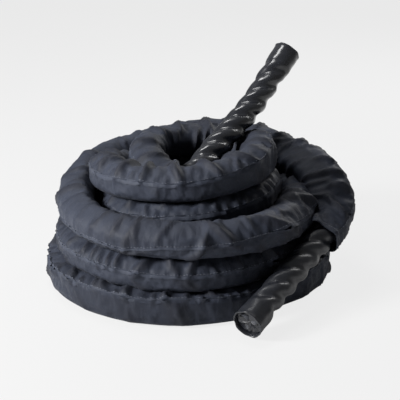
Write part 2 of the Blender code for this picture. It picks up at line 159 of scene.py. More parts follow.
# The sleeve's shape along the rope. A row starts with a place, in eighths of a turn from the back
# of the third layer, then the crease's height and reach as shares of half the section, and how
# sharp the crease is.
CREASE_SHARES = (
    (-8.0, 0.30, 0.86, 0.30),
    (-4.0, 0.30, 0.90, 0.30),
    (0.0, 0.30, 0.94, 0.35),
    (1.2, -0.10, 0.96, 0.25),
    (2.2, -0.45, 0.96, 0.20),
    (3.4, -0.45, 0.96, 0.20),
    (4.2, 0.00, 0.98, 0.35),
    (5.0, 0.20, 1.00, 0.50),
    (6.5, 0.24, 1.08, 0.40),
    (8.0, 0.26, 0.98, 0.60),
    (10.5, 0.20, 0.98, 0.90),
    (12.0, 0.17, 0.99, 1.00),
    (15.0, 0.22, 0.98, 1.00),
    (18.0, 0.70, 0.94, 1.00),
    (20.0, 0.82, 0.92, 1.00),
    (24.0, 0.76, 0.92, 1.00),
    (28.0, 0.40, 0.95, 0.40),
    (48.0, 0.30, 0.96, 0.60),
    (52.0, 0.34, 0.96, 0.90),
    (54.0, 0.42, 0.96, 1.00),
    (57.0, 0.36, 0.96, 1.00),
    (60.0, 0.36, 0.97, 1.00),
    (61.0, 0.60, 0.90, 1.00),
    (61.6, 0.84, 0.76, 1.00),
    (62.2, 0.96, 0.58, 1.00),
    (63.2, 0.96, 0.50, 1.00),
    (64.4, 0.90, 0.54, 0.90),
    (65.6, 0.50, 0.80, 0.60),
    (68.0, 0.20, 0.94, 0.40),
)

# How the cloth gathers along the rope: a place as above, then the depth of the puckers at the
# crease, of the folds over the top, of the dents in the outer side, and the folds' slant.
GATHER_SHARES = (
    (-8.0, 0.4, 1.2, 1.0, 1.1),
    (-3.0, 0.5, 1.4, 1.2, 1.3),
    (0.0, 0.3, 0.55, 1.0, 0.6),
    (3.0, 0.3, 0.40, 1.1, 0.5),
    (6.0, 0.4, 0.60, 1.5, 0.8),
    (8.0, 0.6, 0.80, 1.3, 0.4),
    (11.0, 1.4, 1.2, 0.9, 0.3),
    (15.0, 1.4, 1.1, 0.9, 0.3),
    (19.0, 1.3, 1.1, 0.7, 0.2),
    (24.0, 1.3, 1.1, 0.9, 0.2),
    (30.0, 0.4, 0.6, 0.4, 0.3),
    (46.0, 0.6, 0.8, 0.6, 0.3),
    (52.0, 0.9, 1.1, 0.9, 0.5),
    (57.0, 1.0, 1.1, 0.8, 0.5),
    (57.6, 1.0, 0.3, 0.8, 0.4),
    (61.0, 0.8, 0.3, 0.8, 0.4),
    (61.6, 0.8, 1.1, 0.8, 0.4),
    (68.0, 0.5, 0.8, 0.8, 0.6),
)

# The folds that catch the eye: place, middle around from the crease, half length, half width,
# depth and slant.
STRONG_FOLDS = (
    (-4.6, 0.050, 0.040, 0.0065, 0.0080, 0.9),
    (-4.2, 0.040, 0.045, 0.0070, 0.0085, 1.0),
    (-3.8, 0.046, 0.040, 0.0060, 0.0075, 1.1),
    (-3.3, 0.036, 0.045, 0.0070, 0.0080, 1.1),
    (-2.7, 0.040, 0.040, 0.0080, 0.0070, 1.2),
    (2.2, 0.030, 0.040, 0.0100, 0.0060, 0.8),
    (3.45, -0.004, 0.030, 0.0050, 0.0040, 0.2),
    (4.13, -0.006, 0.034, 0.0055, 0.0075, 0.3),
    (4.32, 0.014, 0.036, 0.0080, 0.0070, -0.8),
    (4.95, 0.004, 0.042, 0.0130, 0.0080, -1.1),
    (5.6, 0.020, 0.040, 0.0090, 0.0080, -0.9),
    (6.3, 0.024, 0.036, 0.0080, 0.0070, -0.5),
    (11.6, 0.010, 0.026, 0.0050, 0.0075, 0.4),
    (12.9, 0.008, 0.026, 0.0055, 0.0080, -0.4),
    (13.5, -0.004, 0.028, 0.0050, 0.0060, 0.5),
    (57.6, 0.026, 0.036, 0.0050, 0.0074, 0.6),
    (58.1, 0.030, 0.038, 0.0050, 0.0086, 0.5),
    (58.5, 0.034, 0.036, 0.0045, 0.0092, 0.3),
    (58.95, 0.030, 0.040, 0.0055, 0.0099, 0.1),
    (59.35, 0.034, 0.036, 0.0045, 0.0099, -0.1),
    (59.8, 0.030, 0.040, 0.0055, 0.0099, -0.3),
    (60.3, 0.034, 0.038, 0.0050, 0.0092, -0.4),
    (60.9, 0.030, 0.038, 0.0060, 0.0080, -0.5),
)

# Families of small folds: spacing, middle around, half length, half width, depth, slant, and the
# depth in GATHER_SHARES that they follow. A slant of LEVEL_LEAN there leans no fold more than another.
FOLD_FAMILIES = (
    ((0.014, 0.034), (0.003, 0.014), (0.010, 0.020), (0.0026, 0.0042), (0.0012, 0.0042), 0.35, 0),
    ((0.030, 0.066), (0.022, 0.040), (0.024, 0.044), (0.0042, 0.0066), (0.0035, 0.0090), 0.55, 1),
    ((0.020, 0.046), (0.056, 0.082), (0.018, 0.036), (0.0034, 0.0056), (0.0022, 0.0060), 0.45, 1),
    ((0.045, 0.110), (-0.034, -0.014), (0.014, 0.028), (0.0070, 0.0160), (0.0016, 0.0050), 0.90, 2),
    ((0.016, 0.040), (-0.046, -0.040), (0.007, 0.012), (0.0036, 0.0064), (0.0010, 0.0026), 0.30, 2),
)
FOLD_SEED = 11
FOLD_BOW = 6.0
FOLD_DEPTH_POWER = 1.4
FOLD_SPACING_SHARE = 1.5
LEVEL_LEAN = 0.3

# A fold's own section, in half widths: the stretch that is worked out, its valley and its shoulders.
FOLD_REACH_SHARE = 5
FADE_POWER = 1.5
VALLEY_POWER = 1.25
SHOULDER_PLACE_SHARE = 2.4
SHOULDER_WIDTH_SHARE = 1.5
SHOULDER_SHARE = 0.16
RIDGE_CAP = 0.0012
VALLEY_CAP = 0.0085

# The sleeve's section. A slow change along the rope has its size, its wavelength and its seed.
CREASE_HEIGHT_WAVES = ((0.07, 0.055, 3), (0.05, 0.021, 4))
CREASE_REACH_WAVE = (0.03, 0.07, 5)
CROWN_WAVE = (0.12, 0.11, 6)
LEVEL_WAVE = (0.035, 0.06, 7)
INNER_WAVE = (0.1, 0.08, 8)
SLACK_WAVE = (0.0012, 0.09, 21)
SLACK_DROP = 0.0004
CROWN_SHARE = 0.02
LEVEL_SHARE = 0.965
INNER_SHARE = 0.97
INNER_SHARES = ((-7.0, INNER_SHARE), (-5.0, 1.25), (-3.4, 1.50), (-1.6, 1.50), (0.5, INNER_SHARE))
SECTION_COUNTS = (4, 5, 5, 5, 4, 3, 3, 4, 7)
BACK_FROM_SHARE = 0.62
UNDERSIDE_SHARE = 0.25
CALM_LENGTH = 0.05
CALM_SHARE = 0.3
AXES_REACH = 6

# Between these places the sleeve is hidden, and its rings are this many times as far apart.
HIDDEN_PLACES = (26.5, 43.5)
HIDDEN_STEPS = 3

# The seam along the crease: the cloth lapped under it, the fin that stands out, and its pale edge, a painted
# highlight with rubbing wear.
# FOLD_SHOWN is the depth of fold that has the full tone of a painted highlight on a ridge or of painted shade
# in a valley; FOLD_TONE and LEVEL_TONE scale and lift that tone.
LAP_DEPTH = 0.005
LAP_SHARE = 0.6
LAP_UNDER = 0.0013
FIN_HEIGHT = 0.0028
FIN_LIFT = 0.0004
SEAM_LIFT = 0.0006
SEAM_RUB_AND_HIGHLIGHT = 0.0022
SEAM_PLACE_SHARE = 0.75
FOLD_SHOWN = 0.0022
FOLD_TONE = 0.5
LEVEL_TONE = 0.2

# How the cloth settles. A held side has its axis (0 is outwards, 1 is upwards), its sign, the share
# of half the section where the hold starts, the share over which it grows, and its firmness.
CLOTH_FRAMES = 10
CLOTH_QUALITY = 3
CLOTH_MASS = 0.1
CLOTH_STIFFNESS = 15
CLOTH_SHEAR = 5
CLOTH_DAMPING = 10
HELD_SIDES = ((1, -1, 0.62, 0.20, 1.0), (0, -1, 0.62, 0.25, 0.8), (0, 1, 0.70, 0.20, 0.25))
HELD_LEAST = 0.10
HELD_MOUTH = 0.02
FIRM_FOLD_SHARE = 0.45
SWELL_CAP = 0.0022
MOVE_CAP = 0.007

# The hem at a mouth, with its thickness shares from the mouth inwards.
HEM_OUTER = 0.0011
HEM_INNER = 0.0009
HEM_ROLL = 0.0009
HEM_PLUMP_SHARES = (0.9, 1.05, 1.0, 1.0, 1.05, 0.75)
HEM_SPARE = 0.003
HEM_MAP_LENGTH = 0.024
# The hem's even share of the cloth's painted ridge highlight.
HEM_RIDGE_HIGHLIGHT = 0.6
HEM_STITCH_ROW = 4
THREAD_WIDTH = 0.0012
STITCH_LIFT = 0.0002

# The strands, the film and the closed ends.
STRAND_STEP = 0.0078
STRAND_SIDES = 9
GRIP_SPOKES = 72
TAUT_SHARE = 0.24
TAUT_POWER = 1.5
FILM_STEP = 0.0022
FILM_END = 0.012
FILM_END_RINGS = 9
LIP_MAP_PLACE = -0.001
INNER_SKIP = 4
INNER_END = 0.02
ROPE_STEP_FINE = 0.002
RIPPLES = 26
RIPPLE_WAVES = (40, 330)
RIPPLE_TURNS = (1, 9)
RIPPLE_SIZE = 0.00011
RIPPLE_EASE = 90
RIPPLE_CALM = 0.01
RIPPLE_CALM_SHARE = 0.3
LIP_CRUSH = 0.0006
LIP_CRUSH_LENGTH = 0.006
LIP_CRUSH_WAVES = ((1.0, 5, 1.0), (0.7, 9, 0.0))
CAP_RINGS = 20
CAP_PLEATS = 15
PLEAT_WIDTHS = (0.10, 0.26)
PLEAT_HEIGHTS = (0.0008, 0.0026)
PLEAT_BEND = 1.2
PLEAT_POWER = 1.4
CAP_DENTS = 12
DENT_WIDTHS = (0.12, 0.3)
DENT_HEIGHTS = (-0.0018, 0.0014)
DENT_SPREAD_SHARE = 0.7
CAP_LEVELS = (-0.0035, 0.0022)
CAP_SINK = 0.0006
CAP_POLE_SINK = 0.0008
CAP_WAY_STEP = 0.004
CAP_MAP_LENGTH = 0.05

# The studio: each lamp's place, size and power.
SENSOR_WIDTH = 36.0
VIEW_MIDDLE = (0.021, 0.0, 0.131)
LAMPS = {
    "key_lamp": ((-1.75, -0.78, 1.08), 0.5, 104.0),
    "top_lamp": ((-0.45, 0.45, 2.10), 0.7, 25.0),
    "back_lamp": ((1.05, 1.60, 1.20), 0.8, 18.0),
}
FLOOR_REACH = 14.0
BACKDROP_SEEN = 0.94
BACKDROP_LIGHT = 0.06
BACKDROP_MIRRORED = 0.3
SHEEN_ROUGHNESS = 0.45
COAT_ROUGHNESS = 0.12


def run_lengths(line):
    """How far along the line each of its points is."""
    steps = np.linalg.norm(np.diff(line, axis=0), axis=1)
    return np.concatenate([[0.0], np.cumsum(steps)])


def unit(ways):
    """The directions at a length of 1."""
    return ways / np.linalg.norm(ways, axis=-1, keepdims=True)


def read_line(line, at):
    """The line's points at the given distances along it."""
    lengths = run_lengths(line)
    return np.stack([np.interp(at, lengths, line[:, axis]) for axis in range(line.shape[1])], axis=1)


def cubic_through(before, start, end, after, t):
    """A place between start and end, on a smooth curve through all four."""
    bend = 2 * before - 5 * start + 4 * end - after
    twist = 3 * start - before - 3 * end + after
    return (2 * start + (end - before) * t + bend * t**2 + twist * t**3) / 2


def smooth_line(points, per_step):
    """A Catmull-Rom curve through the points."""
    points = np.asarray(points, float)
    padded = np.vstack([2 * points[0] - points[1], points, 2 * points[-1] - points[-2]])
    curve = []
    for corners in zip(padded, padded[1:], padded[2:], padded[3:]):
        curve += [cubic_through(*corners, t) for t in np.arange(per_step) / per_step]
    curve.append(points[-1])
    return np.array(curve)


def place_shares(rows):
    """Free-end rows, as points at the sleeve's middle."""
    rows = np.asarray(rows, float)
    return rows * (COIL_REACH, COIL_REACH, LAYER) + (0, 0, SLEEVE_HIGH / 2)


def coil_points():
    """The turns, at TURN_POINTS a turn."""
    eighths = smooth_line(TURN_SHARES, TURN_POINTS // 8)
    angles = math.pi / 2 + np.arange(len(eighths)) * math.tau / TURN_POINTS
    radius = eighths[:, 0] * COIL_REACH
    height = eighths[:, 1] * LAYER + SLEEVE_HIGH / 2
    return np.stack([radius * np.cos(angles), radius * np.sin(angles), height], axis=1)


def free_stations(length, mouth):
    """Distances from a tip: close inside the grip, wider beyond, with one at the sleeve's mouth."""
    grip_steps = round((GRIP_LENGTH - mouth) / ROPE_STEP)
    near = np.linspace(0, mouth, round(mouth / ROPE_STEP) + 1)
    hidden = np.linspace(mouth, min(GRIP_LENGTH, length), max(grip_steps, 1) + 1)
    rest = length - hidden[-1]
    far = np.linspace(hidden[-1], length, max(round(rest / FREE_STEP), 1) + 1)
    return np.concatenate([near, hidden[1:], far[1:]])


def wanted_route():
    """Section middles from the lower tip to the upper one, and each one's place in eighths of a turn."""
    coil = coil_points()
    eighth = TURN_POINTS // 8
    lower_points = np.vstack([place_shares(LOWER_END_SHARES), coil[: eighth + 1 : eighth]])
    upper_points = np.vstack([coil[-eighth - 1 :: eighth], place_shares(UPPER_END_SHARES)])
    lower = smooth_line(lower_points, TURN_POINTS)[:-TURN_POINTS]
    upper = smooth_line(upper_points, TURN_POINTS)[TURN_POINTS:]
    lower_length = run_lengths(lower)[-1]
    upper_length = run_lengths(upper)[-1]
    lower_at = free_stations(lower_length, LOWER_BARE)
    upper_at = upper_length - free_stations(upper_length, UPPER_BARE)[::-1]
    route = np.vstack([read_line(lower, lower_at)[:-1], coil, read_line(upper, upper_at)[1:]])
    eighth_length = COIL_REACH * math.tau / 8
    places = np.concatenate([
        (lower_at[:-1] - lower_length) / eighth_length,
        np.arange(len(coil)) / eighth,
        (len(coil) - 1) / eighth + upper_at[1:] / eighth_length,
    ])
    return route, places


def crowding(line, half_wide, half_high, apart):
    """For each pair of points, their offset and how near they are: under 1 is too near."""
    offset = line[:, None] - line[None]
    flat = np.hypot(offset[..., 0], offset[..., 1])
    wide = half_wide[:, None] + half_wide[None]
    high = half_high[:, None] + half_high[None]
    across = flat / wide
    up = np.abs(offset[..., 2]) / high
    near = (across**CORNER_POWER + up**CORNER_POWER) ** (1 / CORNER_POWER)
    near[~apart] = np.inf
    return offset, flat, wide, high, across, up, near


def push_apart(line, half_wide, half_high, apart):
    """The way out for each point from all that it crowds."""
    offset, flat, wide, high, across, up, near = crowding(line, half_wide, half_high, apart)
    depth = np.clip(1 - near, 0, None)
    slope = CORNER_POWER - 1
    side_way = (across / near) ** slope / wide
    up_way = (up / near) ** slope / high
    weight = depth / (side_way**2 + up_way**2 + (near == np.inf))
    sideways = (weight * side_way / np.where(flat > 0, flat, 1))[..., None] * offset[..., :2]
    upwards = (weight * up_way * np.sign(offset[..., 2]))[..., None]
    total = np.concatenate([sideways, upwards], axis=2).sum(axis=1)
    deepest = np.where(depth.max(axis=1) > 0, depth.max(axis=1), 1)
    crowd = np.maximum(depth.sum(axis=1) / deepest, 1)
    return total / crowd[:, None]


def averaged(points, weights):
    """Each point averaged with its neighbours along the line, by the weights."""
    reach = len(weights) // 2
    padded = np.pad(points, ((reach, reach), (0, 0)), mode="edge")
    weights = weights / weights.sum()
    return np.stack([np.convolve(padded[:, axis], weights, "valid") for axis in range(3)], axis=1)


def soften(move):
    """The moves averaged with their neighbours', so that the rope stays smooth."""
    return averaged(move, SOFTEN_REACH + 1 - np.abs(np.arange(-SOFTEN_REACH, SOFTEN_REACH + 1)))


def settle(route):
    """Moves the turns out of each other and onto the floor, and leaves the two grips where they are."""
    lengths = run_lengths(route)
    total = lengths[-1]
    at = np.linspace(0, total, round(total / (SLEEVE_WIDE / 3)))
    start = read_line(route, at)
    bare = (at < LOWER_BARE) | (at > total - UPPER_BARE)
    half_wide = np.where(bare, FLARE_REACH, (SLEEVE_WIDE + TURN_GAP) / 2)
    half_high = np.where(bare, FLARE_REACH, LAYER / 2)
    apart = np.abs(at[:, None] - at[None]) > 2 * SLEEVE_WIDE
    from_grip = np.minimum(at - LOWER_BARE - SLEEVE_WIDE, total - UPPER_BARE - at)
    loose = np.clip(from_grip / (2 * SLEEVE_WIDE), 0, 1)[:, None]
    move = np.zeros_like(start)
    for turn in range(SETTLE_ROUNDS):
        move += PUSH_SHARE * loose * push_apart(start + move, half_wide, half_high, apart)
        share = SOFTEN_SHARE if turn < FIRM_FROM_SHARE * SETTLE_ROUNDS else FIRM_SHARE
        move = np.where(loose > 0, (1 - share) * move + share * soften(move), 0)
        move[:, 2] = np.maximum(move[:, 2], np.where(bare, -np.inf, SLEEVE_HIGH / 2 - start[:, 2]))
    return route + np.stack([np.interp(lengths, at, move[:, axis]) for axis in range(3)], axis=1)


def straighten_ends(route):
    """Makes the route straight at each tip, where the tape and the cap sit."""
    for line in (route, route[::-1]):
        lengths = run_lengths(line)
        last = int(np.searchsorted(lengths, STRAIGHT_END))
        way = unit(line[last] - line[last + 1])
        line[:last] = line[last] + way * (lengths[last] - lengths[:last])[:, None]
    return route


def section_axes(line):
    """Along, outwards and upwards at each point of the line."""
    steps = unit(np.diff(line, axis=0))
    along = unit(np.vstack([steps[:1], steps[1:] + steps[:-1], steps[-1:]]))
    out = unit(np.cross(along, (0, 0, 1)))
    return along, out, np.cross(out, along)


def square_to(line, outlines, out, up):
    """Outlines of outwards and upwards sizes, placed square to the line at each of its points."""
    return line[:, None] + outlines[..., :1] * out[:, None] + outlines[..., 1:] * up[:, None]


def round_points(middle, radius, spin, out, up):
    """Points at a radius round the middle, square to the rope."""
    return middle + (radius * np.cos(spin))[..., None] * out + (radius * np.sin(spin))[..., None] * up


def strand_turn(length, total):
    """The angle of the first strand, which turns with the lay and is level where a grip ends."""
    from_middle = length - GRIP_LENGTH if length < total / 2 else length - (total - GRIP_LENGTH)
    return -math.tau * from_middle / ROPE_LAY


def seat_drop(reach):
    """How far a round piece can lie below the sleeve's middle before it meets one of its sides."""
    corners = np.array(FULL_SHARES) * (SLEEVE_WIDE / 2, SLEEVE_HIGH / 2)
    drops = []
    for first, second in zip(corners, np.roll(corners, -1, axis=0)):
        way = unit(second - first)
        room = first @ (way[1], -way[0]) - SLEEVE_WALL - SEAT_GAP - reach
        if way[0] > 0:
            drops.append(room / way[0])
    return min(drops)


def core_drop(tip_distance):
    """How far the rope lies below the sleeve's middle: on the film in a grip, on the cloth elsewhere."""
    in_grip = seat_drop(FILM_REACH)
    in_coil = SLEEVE_HIGH / 2 - SLEEVE_WALL - SEAT_GAP - ROPE_RADIUS
    return np.interp(tip_distance, (GRIP_LENGTH, GRIP_LENGTH + SLEEVE_WIDE), (in_grip, in_coil))


@functools.lru_cache(maxsize=None)
def packed_route():
    """The part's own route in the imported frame, each point's place, and where the sleeve covers it."""
    wanted, places = wanted_route()
    route = straighten_ends(settle(wanted))
    lengths = run_lengths(route)
    covered = (lengths > LOWER_BARE - SEAT_GAP) & (lengths < lengths[-1] - UPPER_BARE + SEAT_GAP)
    half = np.array((SLEEVE_WIDE, SLEEVE_HIGH)) / 2
    sleeve = route[covered]
    _, out, up = section_axes(sleeve)
    skin = square_to(sleeve, np.tile(np.array(SECTION_SHARES) * half, (len(sleeve), 1, 1)), out, up)
    shift = np.array(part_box("sleeve")[0]) - skin.reshape(-1, 3).min(axis=0)
    mouths = lengths[covered][0], lengths[covered][-1]
    return route + shift, places, mouths, shift


def tip_to_tip():
    """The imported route, and its length."""
    route = packed_route()[0]
    return route, run_lengths(route)[-1]


def eased_line(line, at):
    """A smooth curve through the line's points, read at the given distances along the straight steps."""
    lengths = run_lengths(line)
    gaps = np.diff(lengths)
    slopes = np.diff(line, axis=0) / gaps[:, None]
    inner = (slopes[:-1] * gaps[1:, None] + slopes[1:] * gaps[:-1, None]) / (gaps[1:] + gaps[:-1])[:, None]
    tangents = np.vstack([slopes[:1], inner, slopes[-1:]])
    place = np.clip(np.searchsorted(lengths, at, side="right") - 1, 0, len(gaps) - 1)
    gap = gaps[place][:, None]
    t = (np.asarray(at)[:, None] - lengths[place][:, None]) / gap
    start, end = line[place], line[place + 1]
    from_way, to_way = tangents[place] * gap, tangents[place + 1] * gap
    return (
        (2 * t**3 - 3 * t**2 + 1) * start
        + (t**3 - 2 * t**2 + t) * from_way
        + (3 * t**2 - 2 * t**3) * end
        + (t**3 - t**2) * to_way
    )


def ramp(value, start, width):
    """0 up to the start, then rising to 1 over the width."""
    return np.clip((value - start) / width, 0, 1)


def rope_sizes():
    """The sizes shown in the sidebar."""
    return bpy.context.scene.battle_rope_sizes


def rope_colours():
    """The colours shown in the sidebar."""
    return bpy.context.scene.battle_rope_colours


def link(obj):
    """Puts an object in the scene."""
    bpy.context.scene.collection.objects.link(obj)
    return obj


def grid_mesh(name, points, closed=False, sheet_uv=None):
    """A surface through a grid of points, in quads, with its own map in metres."""
    points = np.asarray(points, float)
    rows, columns = points.shape[:2]
    index = np.arange(rows * columns).reshape(rows, columns)
    if closed:
        index = np.hstack([index, index[:, :1]])
    quads = np.stack([index[:-1, :-1], index[:-1, 1:], index[1:, 1:], index[1:, :-1]], axis=-1).reshape(-1, 4)
    mesh = bpy.data.meshes.new(name)
    mesh.vertices.add(rows * columns)
    mesh.vertices.foreach_set("co", points.reshape(-1))
    mesh.loops.add(quads.size)
    mesh.loops.foreach_set("vertex_index", quads.reshape(-1))
    mesh.polygons.add(len(quads))
    mesh.polygons.foreach_set("loop_start", np.arange(0, quads.size, 4))
    mesh.polygons.foreach_set("loop_total", np.full(len(quads), 4))
    mesh.update(calc_edges=True)
    if sheet_uv is not None:
        layer = mesh.uv_layers.new(name="cloth_map")
        flat = np.asarray(sheet_uv, float).reshape(-1, 2)[quads.reshape(-1)]
        layer.data.foreach_set("uv", flat.reshape(-1))
    mesh.shade_smooth()
    return mesh


def merged(name, meshes):
    """The meshes as one, with doubled points joined and the faces outwards."""
    build = bmesh.new()
    for mesh in meshes:
        build.from_mesh(mesh)
        bpy.data.meshes.remove(mesh)
    bmesh.ops.remove_doubles(build, verts=build.verts, dist=SEAT_GAP / 1000)
    bmesh.ops.recalc_face_normals(build, faces=build.faces)
    joined = bpy.data.meshes.new(name)
    build.to_mesh(joined)
    build.free()
    joined.shade_smooth()
    return joined


def closed_grid(name, rows, chart):
    """A closed piece from rings of points, the first and last drawn together or the same."""
    return merged(name, [grid_mesh(name + "_part", np.array(rows), closed=True, sheet_uv=chart)])


def strip_map(along, around):
    """Map coordinates in metres for a grid of points."""
    return np.stack(np.broadcast_arrays(np.asarray(along)[:, None], around), axis=-1)


def cloth_stations(step, hidden_step):
    """Where the sleeve's rings are, along the route: close where they show, wide where they don't."""
    route, places, mouths, _ = packed_route()
    lengths = run_lengths(route)
    fine = np.arange(mouths[0], mouths[1], step / 2)
    place = np.interp(fine, lengths, places)
    hidden = (place > HIDDEN_PLACES[0]) & (place < HIDDEN_PLACES[1])
    count = np.cumsum(np.where(hidden, step / 2 / hidden_step, 0.5))
    count -= count[0]
    wanted = np.linspace(0, count[-1], int(round(count[-1])) + 1)
    at = np.interp(wanted, count, fine)
    at[-1] = mouths[1]
    return at, np.interp(at, lengths, places)


def slow_wave(at, size, wavelength, seed):
    """Smooth noise along the rope, up to the size both ways."""
    chance = np.random.default_rng(seed)
    knots = np.arange(at[0] - 2 * wavelength, at[-1] + 3 * wavelength, wavelength)
    values = chance.uniform(-1, 1, len(knots))
    place = np.clip(np.searchsorted(knots, at) - 1, 1, len(knots) - 3)
    t = (at - knots[place]) / wavelength
    return size * cubic_through(*(values[place + shift] for shift in (-1, 0, 1, 2)), t)


def table_at(table, places):
    """A table's columns at the given places, eased between its rows."""
    table = np.asarray(table, float)
    return [np.interp(places, table[:, 0], column) for column in table.T[1:]]


def curve_weights(counts, sharp):
    """Weights of the section's own points in each of its samples, with or without a sharp first point."""
    points = len(counts)
    rows = []
    for segment, count in enumerate(counts):
        for t in np.arange(count) / count:
            row = np.zeros(points)
            for shift, share in zip((-1, 0, 1, 2), cubic_through(*np.eye(4), t)):
                corner = segment + shift
                if sharp and corner in (-1, points + 1):
                    row[0] += 2 * share
                    row[1 if corner < 0 else points - 1] -= share
                else:
                    row[corner % points] += share
            rows.append(row)
    rows.append(np.eye(points)[0])
    return np.array(rows)


def section_points(at, places):
    """The sleeve's section at each place: outwards and upwards, from the crease over the top and back."""
    height, reach, sharp = table_at(CREASE_SHARES, places)
    for wave in CREASE_HEIGHT_WAVES:
        height = height + slow_wave(at, *wave)
    reach = reach + slow_wave(at, *CREASE_REACH_WAVE)
    crown = CROWN_SHARE + slow_wave(at, *CROWN_WAVE)
    level = LEVEL_SHARE + slow_wave(at, *LEVEL_WAVE)
    (inner,) = table_at(INNER_SHARES, places)
    sagging = np.clip(0.3 - height, 0, 1)
    corner_shares = (
        (reach, height),
        (0.55 * reach + 0.08 + 0.35 * sagging, height + 0.56 * (level - height)),
        (crown, level),
        (-0.60, level - 0.16),
        (-inner, 0.10 + slow_wave(at, *INNER_WAVE)),
        (-0.85 * inner, -0.70 - 0.5 * (inner - INNER_SHARE)),
        (-0.25, -0.99),
        (0.50, -0.99),
        (0.92 * np.maximum(reach, 0.93) - 0.02, -0.66),
    )
    corners = [np.stack(np.broadcast_arrays(*corner, at)[:2], axis=1) for corner in corner_shares]
    corners = np.stack(corners, axis=1)
    smooth = np.einsum("kc,ncd->nkd", curve_weights(SECTION_COUNTS, False), corners)
    pointed = np.einsum("kc,ncd->nkd", curve_weights(SECTION_COUNTS, True), corners)
    shares = smooth + sharp[:, None, None] * (pointed - smooth)
    return shares * np.array((SLEEVE_WIDE, SLEEVE_HIGH)) / 2


def outline_normals(outlines):
    """Outward directions in the plane of each ring."""
    ways = np.gradient(outlines, axis=1)
    normals = np.stack([-ways[..., 1], ways[..., 0]], axis=-1)
    lengths = np.linalg.norm(normals, axis=-1, keepdims=True)
    return normals / np.where(lengths > 0, lengths, 1)


def fold_list(at, places):
    """Each fold: its middle along and around, half length, half width, depth, slant and bow."""
    chance = np.random.default_rng(FOLD_SEED)
    middles = np.interp([fold[0] for fold in STRONG_FOLDS], places, at)
    folds = [(middle, *fold[1:], 0.0) for middle, fold in zip(middles, STRONG_FOLDS)]
    for spacing, middle, half_length, half_width, depth, slant, column in FOLD_FAMILIES:
        place = at[0] + chance.uniform(0, spacing[1])
        while place < at[-1]:
            shares = table_at(GATHER_SHARES, np.interp(place, at, places))
            lean = shares[-1] - LEVEL_LEAN
            folds.append((
                place,
                chance.uniform(*middle),
                chance.uniform(*half_length),
                chance.uniform(*half_width),
                (depth[0] + (depth[1] - depth[0]) * chance.uniform() ** FOLD_DEPTH_POWER) * shares[column],
                chance.uniform(-1, 1) * slant + lean * slant,
                chance.uniform(-1, 1) * FOLD_BOW,
            ))
            place += spacing[0] + (spacing[1] - spacing[0]) * FOLD_SPACING_SHARE * chance.uniform() ** 2
    return folds


def fold_depths(at, around, folds):
    """How far the cloth moves out at each ring and each place around it."""
    moved = np.zeros((len(at), len(around)))
    for middle, over, half_length, half_width, depth, slant, bow in folds:
        reach = FOLD_REACH_SHARE * half_width + abs(slant) * half_length + abs(bow) * half_length**2
        low, high = np.searchsorted(at, (middle - reach, middle + reach))
        if high <= low:
            continue
        beside = around - over
        across = at[low:high, None] - middle - slant * beside[None] - bow * beside[None] ** 2
        across = np.abs(across / half_width)
        fade = np.clip(1 - (beside / half_length) ** 2, 0, None) ** FADE_POWER
        valley = np.exp(-(across**VALLEY_POWER))
        shoulders = np.exp(-(((across - SHOULDER_PLACE_SHARE) / SHOULDER_WIDTH_SHARE) ** 2))
        moved[low:high] += depth * fade[None] * (SHOULDER_SHARE * shoulders - valley)
    return moved


def smooth_axes(line):
    """Along, outwards and upwards, averaged over a few neighbours."""
    weights = np.hanning(2 * AXES_REACH + 3)[1:-1]
    return [unit(averaged(axes, weights)) for axes in section_axes(line)]


def cloth_moves(start, held):
    """How far each point of the rings moves when the cloth, cut larger than its place, has buckled."""
    sizes = rope_sizes()
    obj = link(bpy.data.objects.new("settling_cloth", grid_mesh("settling_cloth", start)))
    group = obj.vertex_groups.new(name="held")
    for share in np.unique(held):
        group.add(np.flatnonzero(held.reshape(-1) == share).tolist(), float(share), "REPLACE")
    modifier = obj.modifiers.new("settle", "CLOTH")
    cloth = modifier.settings
    cloth.quality = CLOTH_QUALITY
    cloth.mass = CLOTH_MASS
    cloth.shrink_min = -sizes.cloth_excess
    cloth.tension_stiffness = cloth.compression_stiffness = CLOTH_STIFFNESS
    cloth.shear_stiffness = CLOTH_SHEAR
    cloth.bending_model = "ANGULAR"
    cloth.bending_stiffness = sizes.cloth_bending
    cloth.tension_damping = cloth.compression_damping = CLOTH_DAMPING
    cloth.vertex_group_mass = group.name
    cloth.effector_weights.gravity = 0
    modifier.collision_settings.use_collision = False
    modifier.point_cache.frame_start = 1
    modifier.point_cache.frame_end = CLOTH_FRAMES
    for step in range(CLOTH_FRAMES):
        bpy.context.scene.frame_set(step + 1)
    mesh = baked(obj, "settled_cloth")
    ends = np.empty(start.size, np.float32)
    mesh.vertices.foreach_get("co", ends)
    bpy.data.meshes.remove(mesh)
    bpy.context.scene.frame_set(1)
    return ends.reshape(start.shape) - start


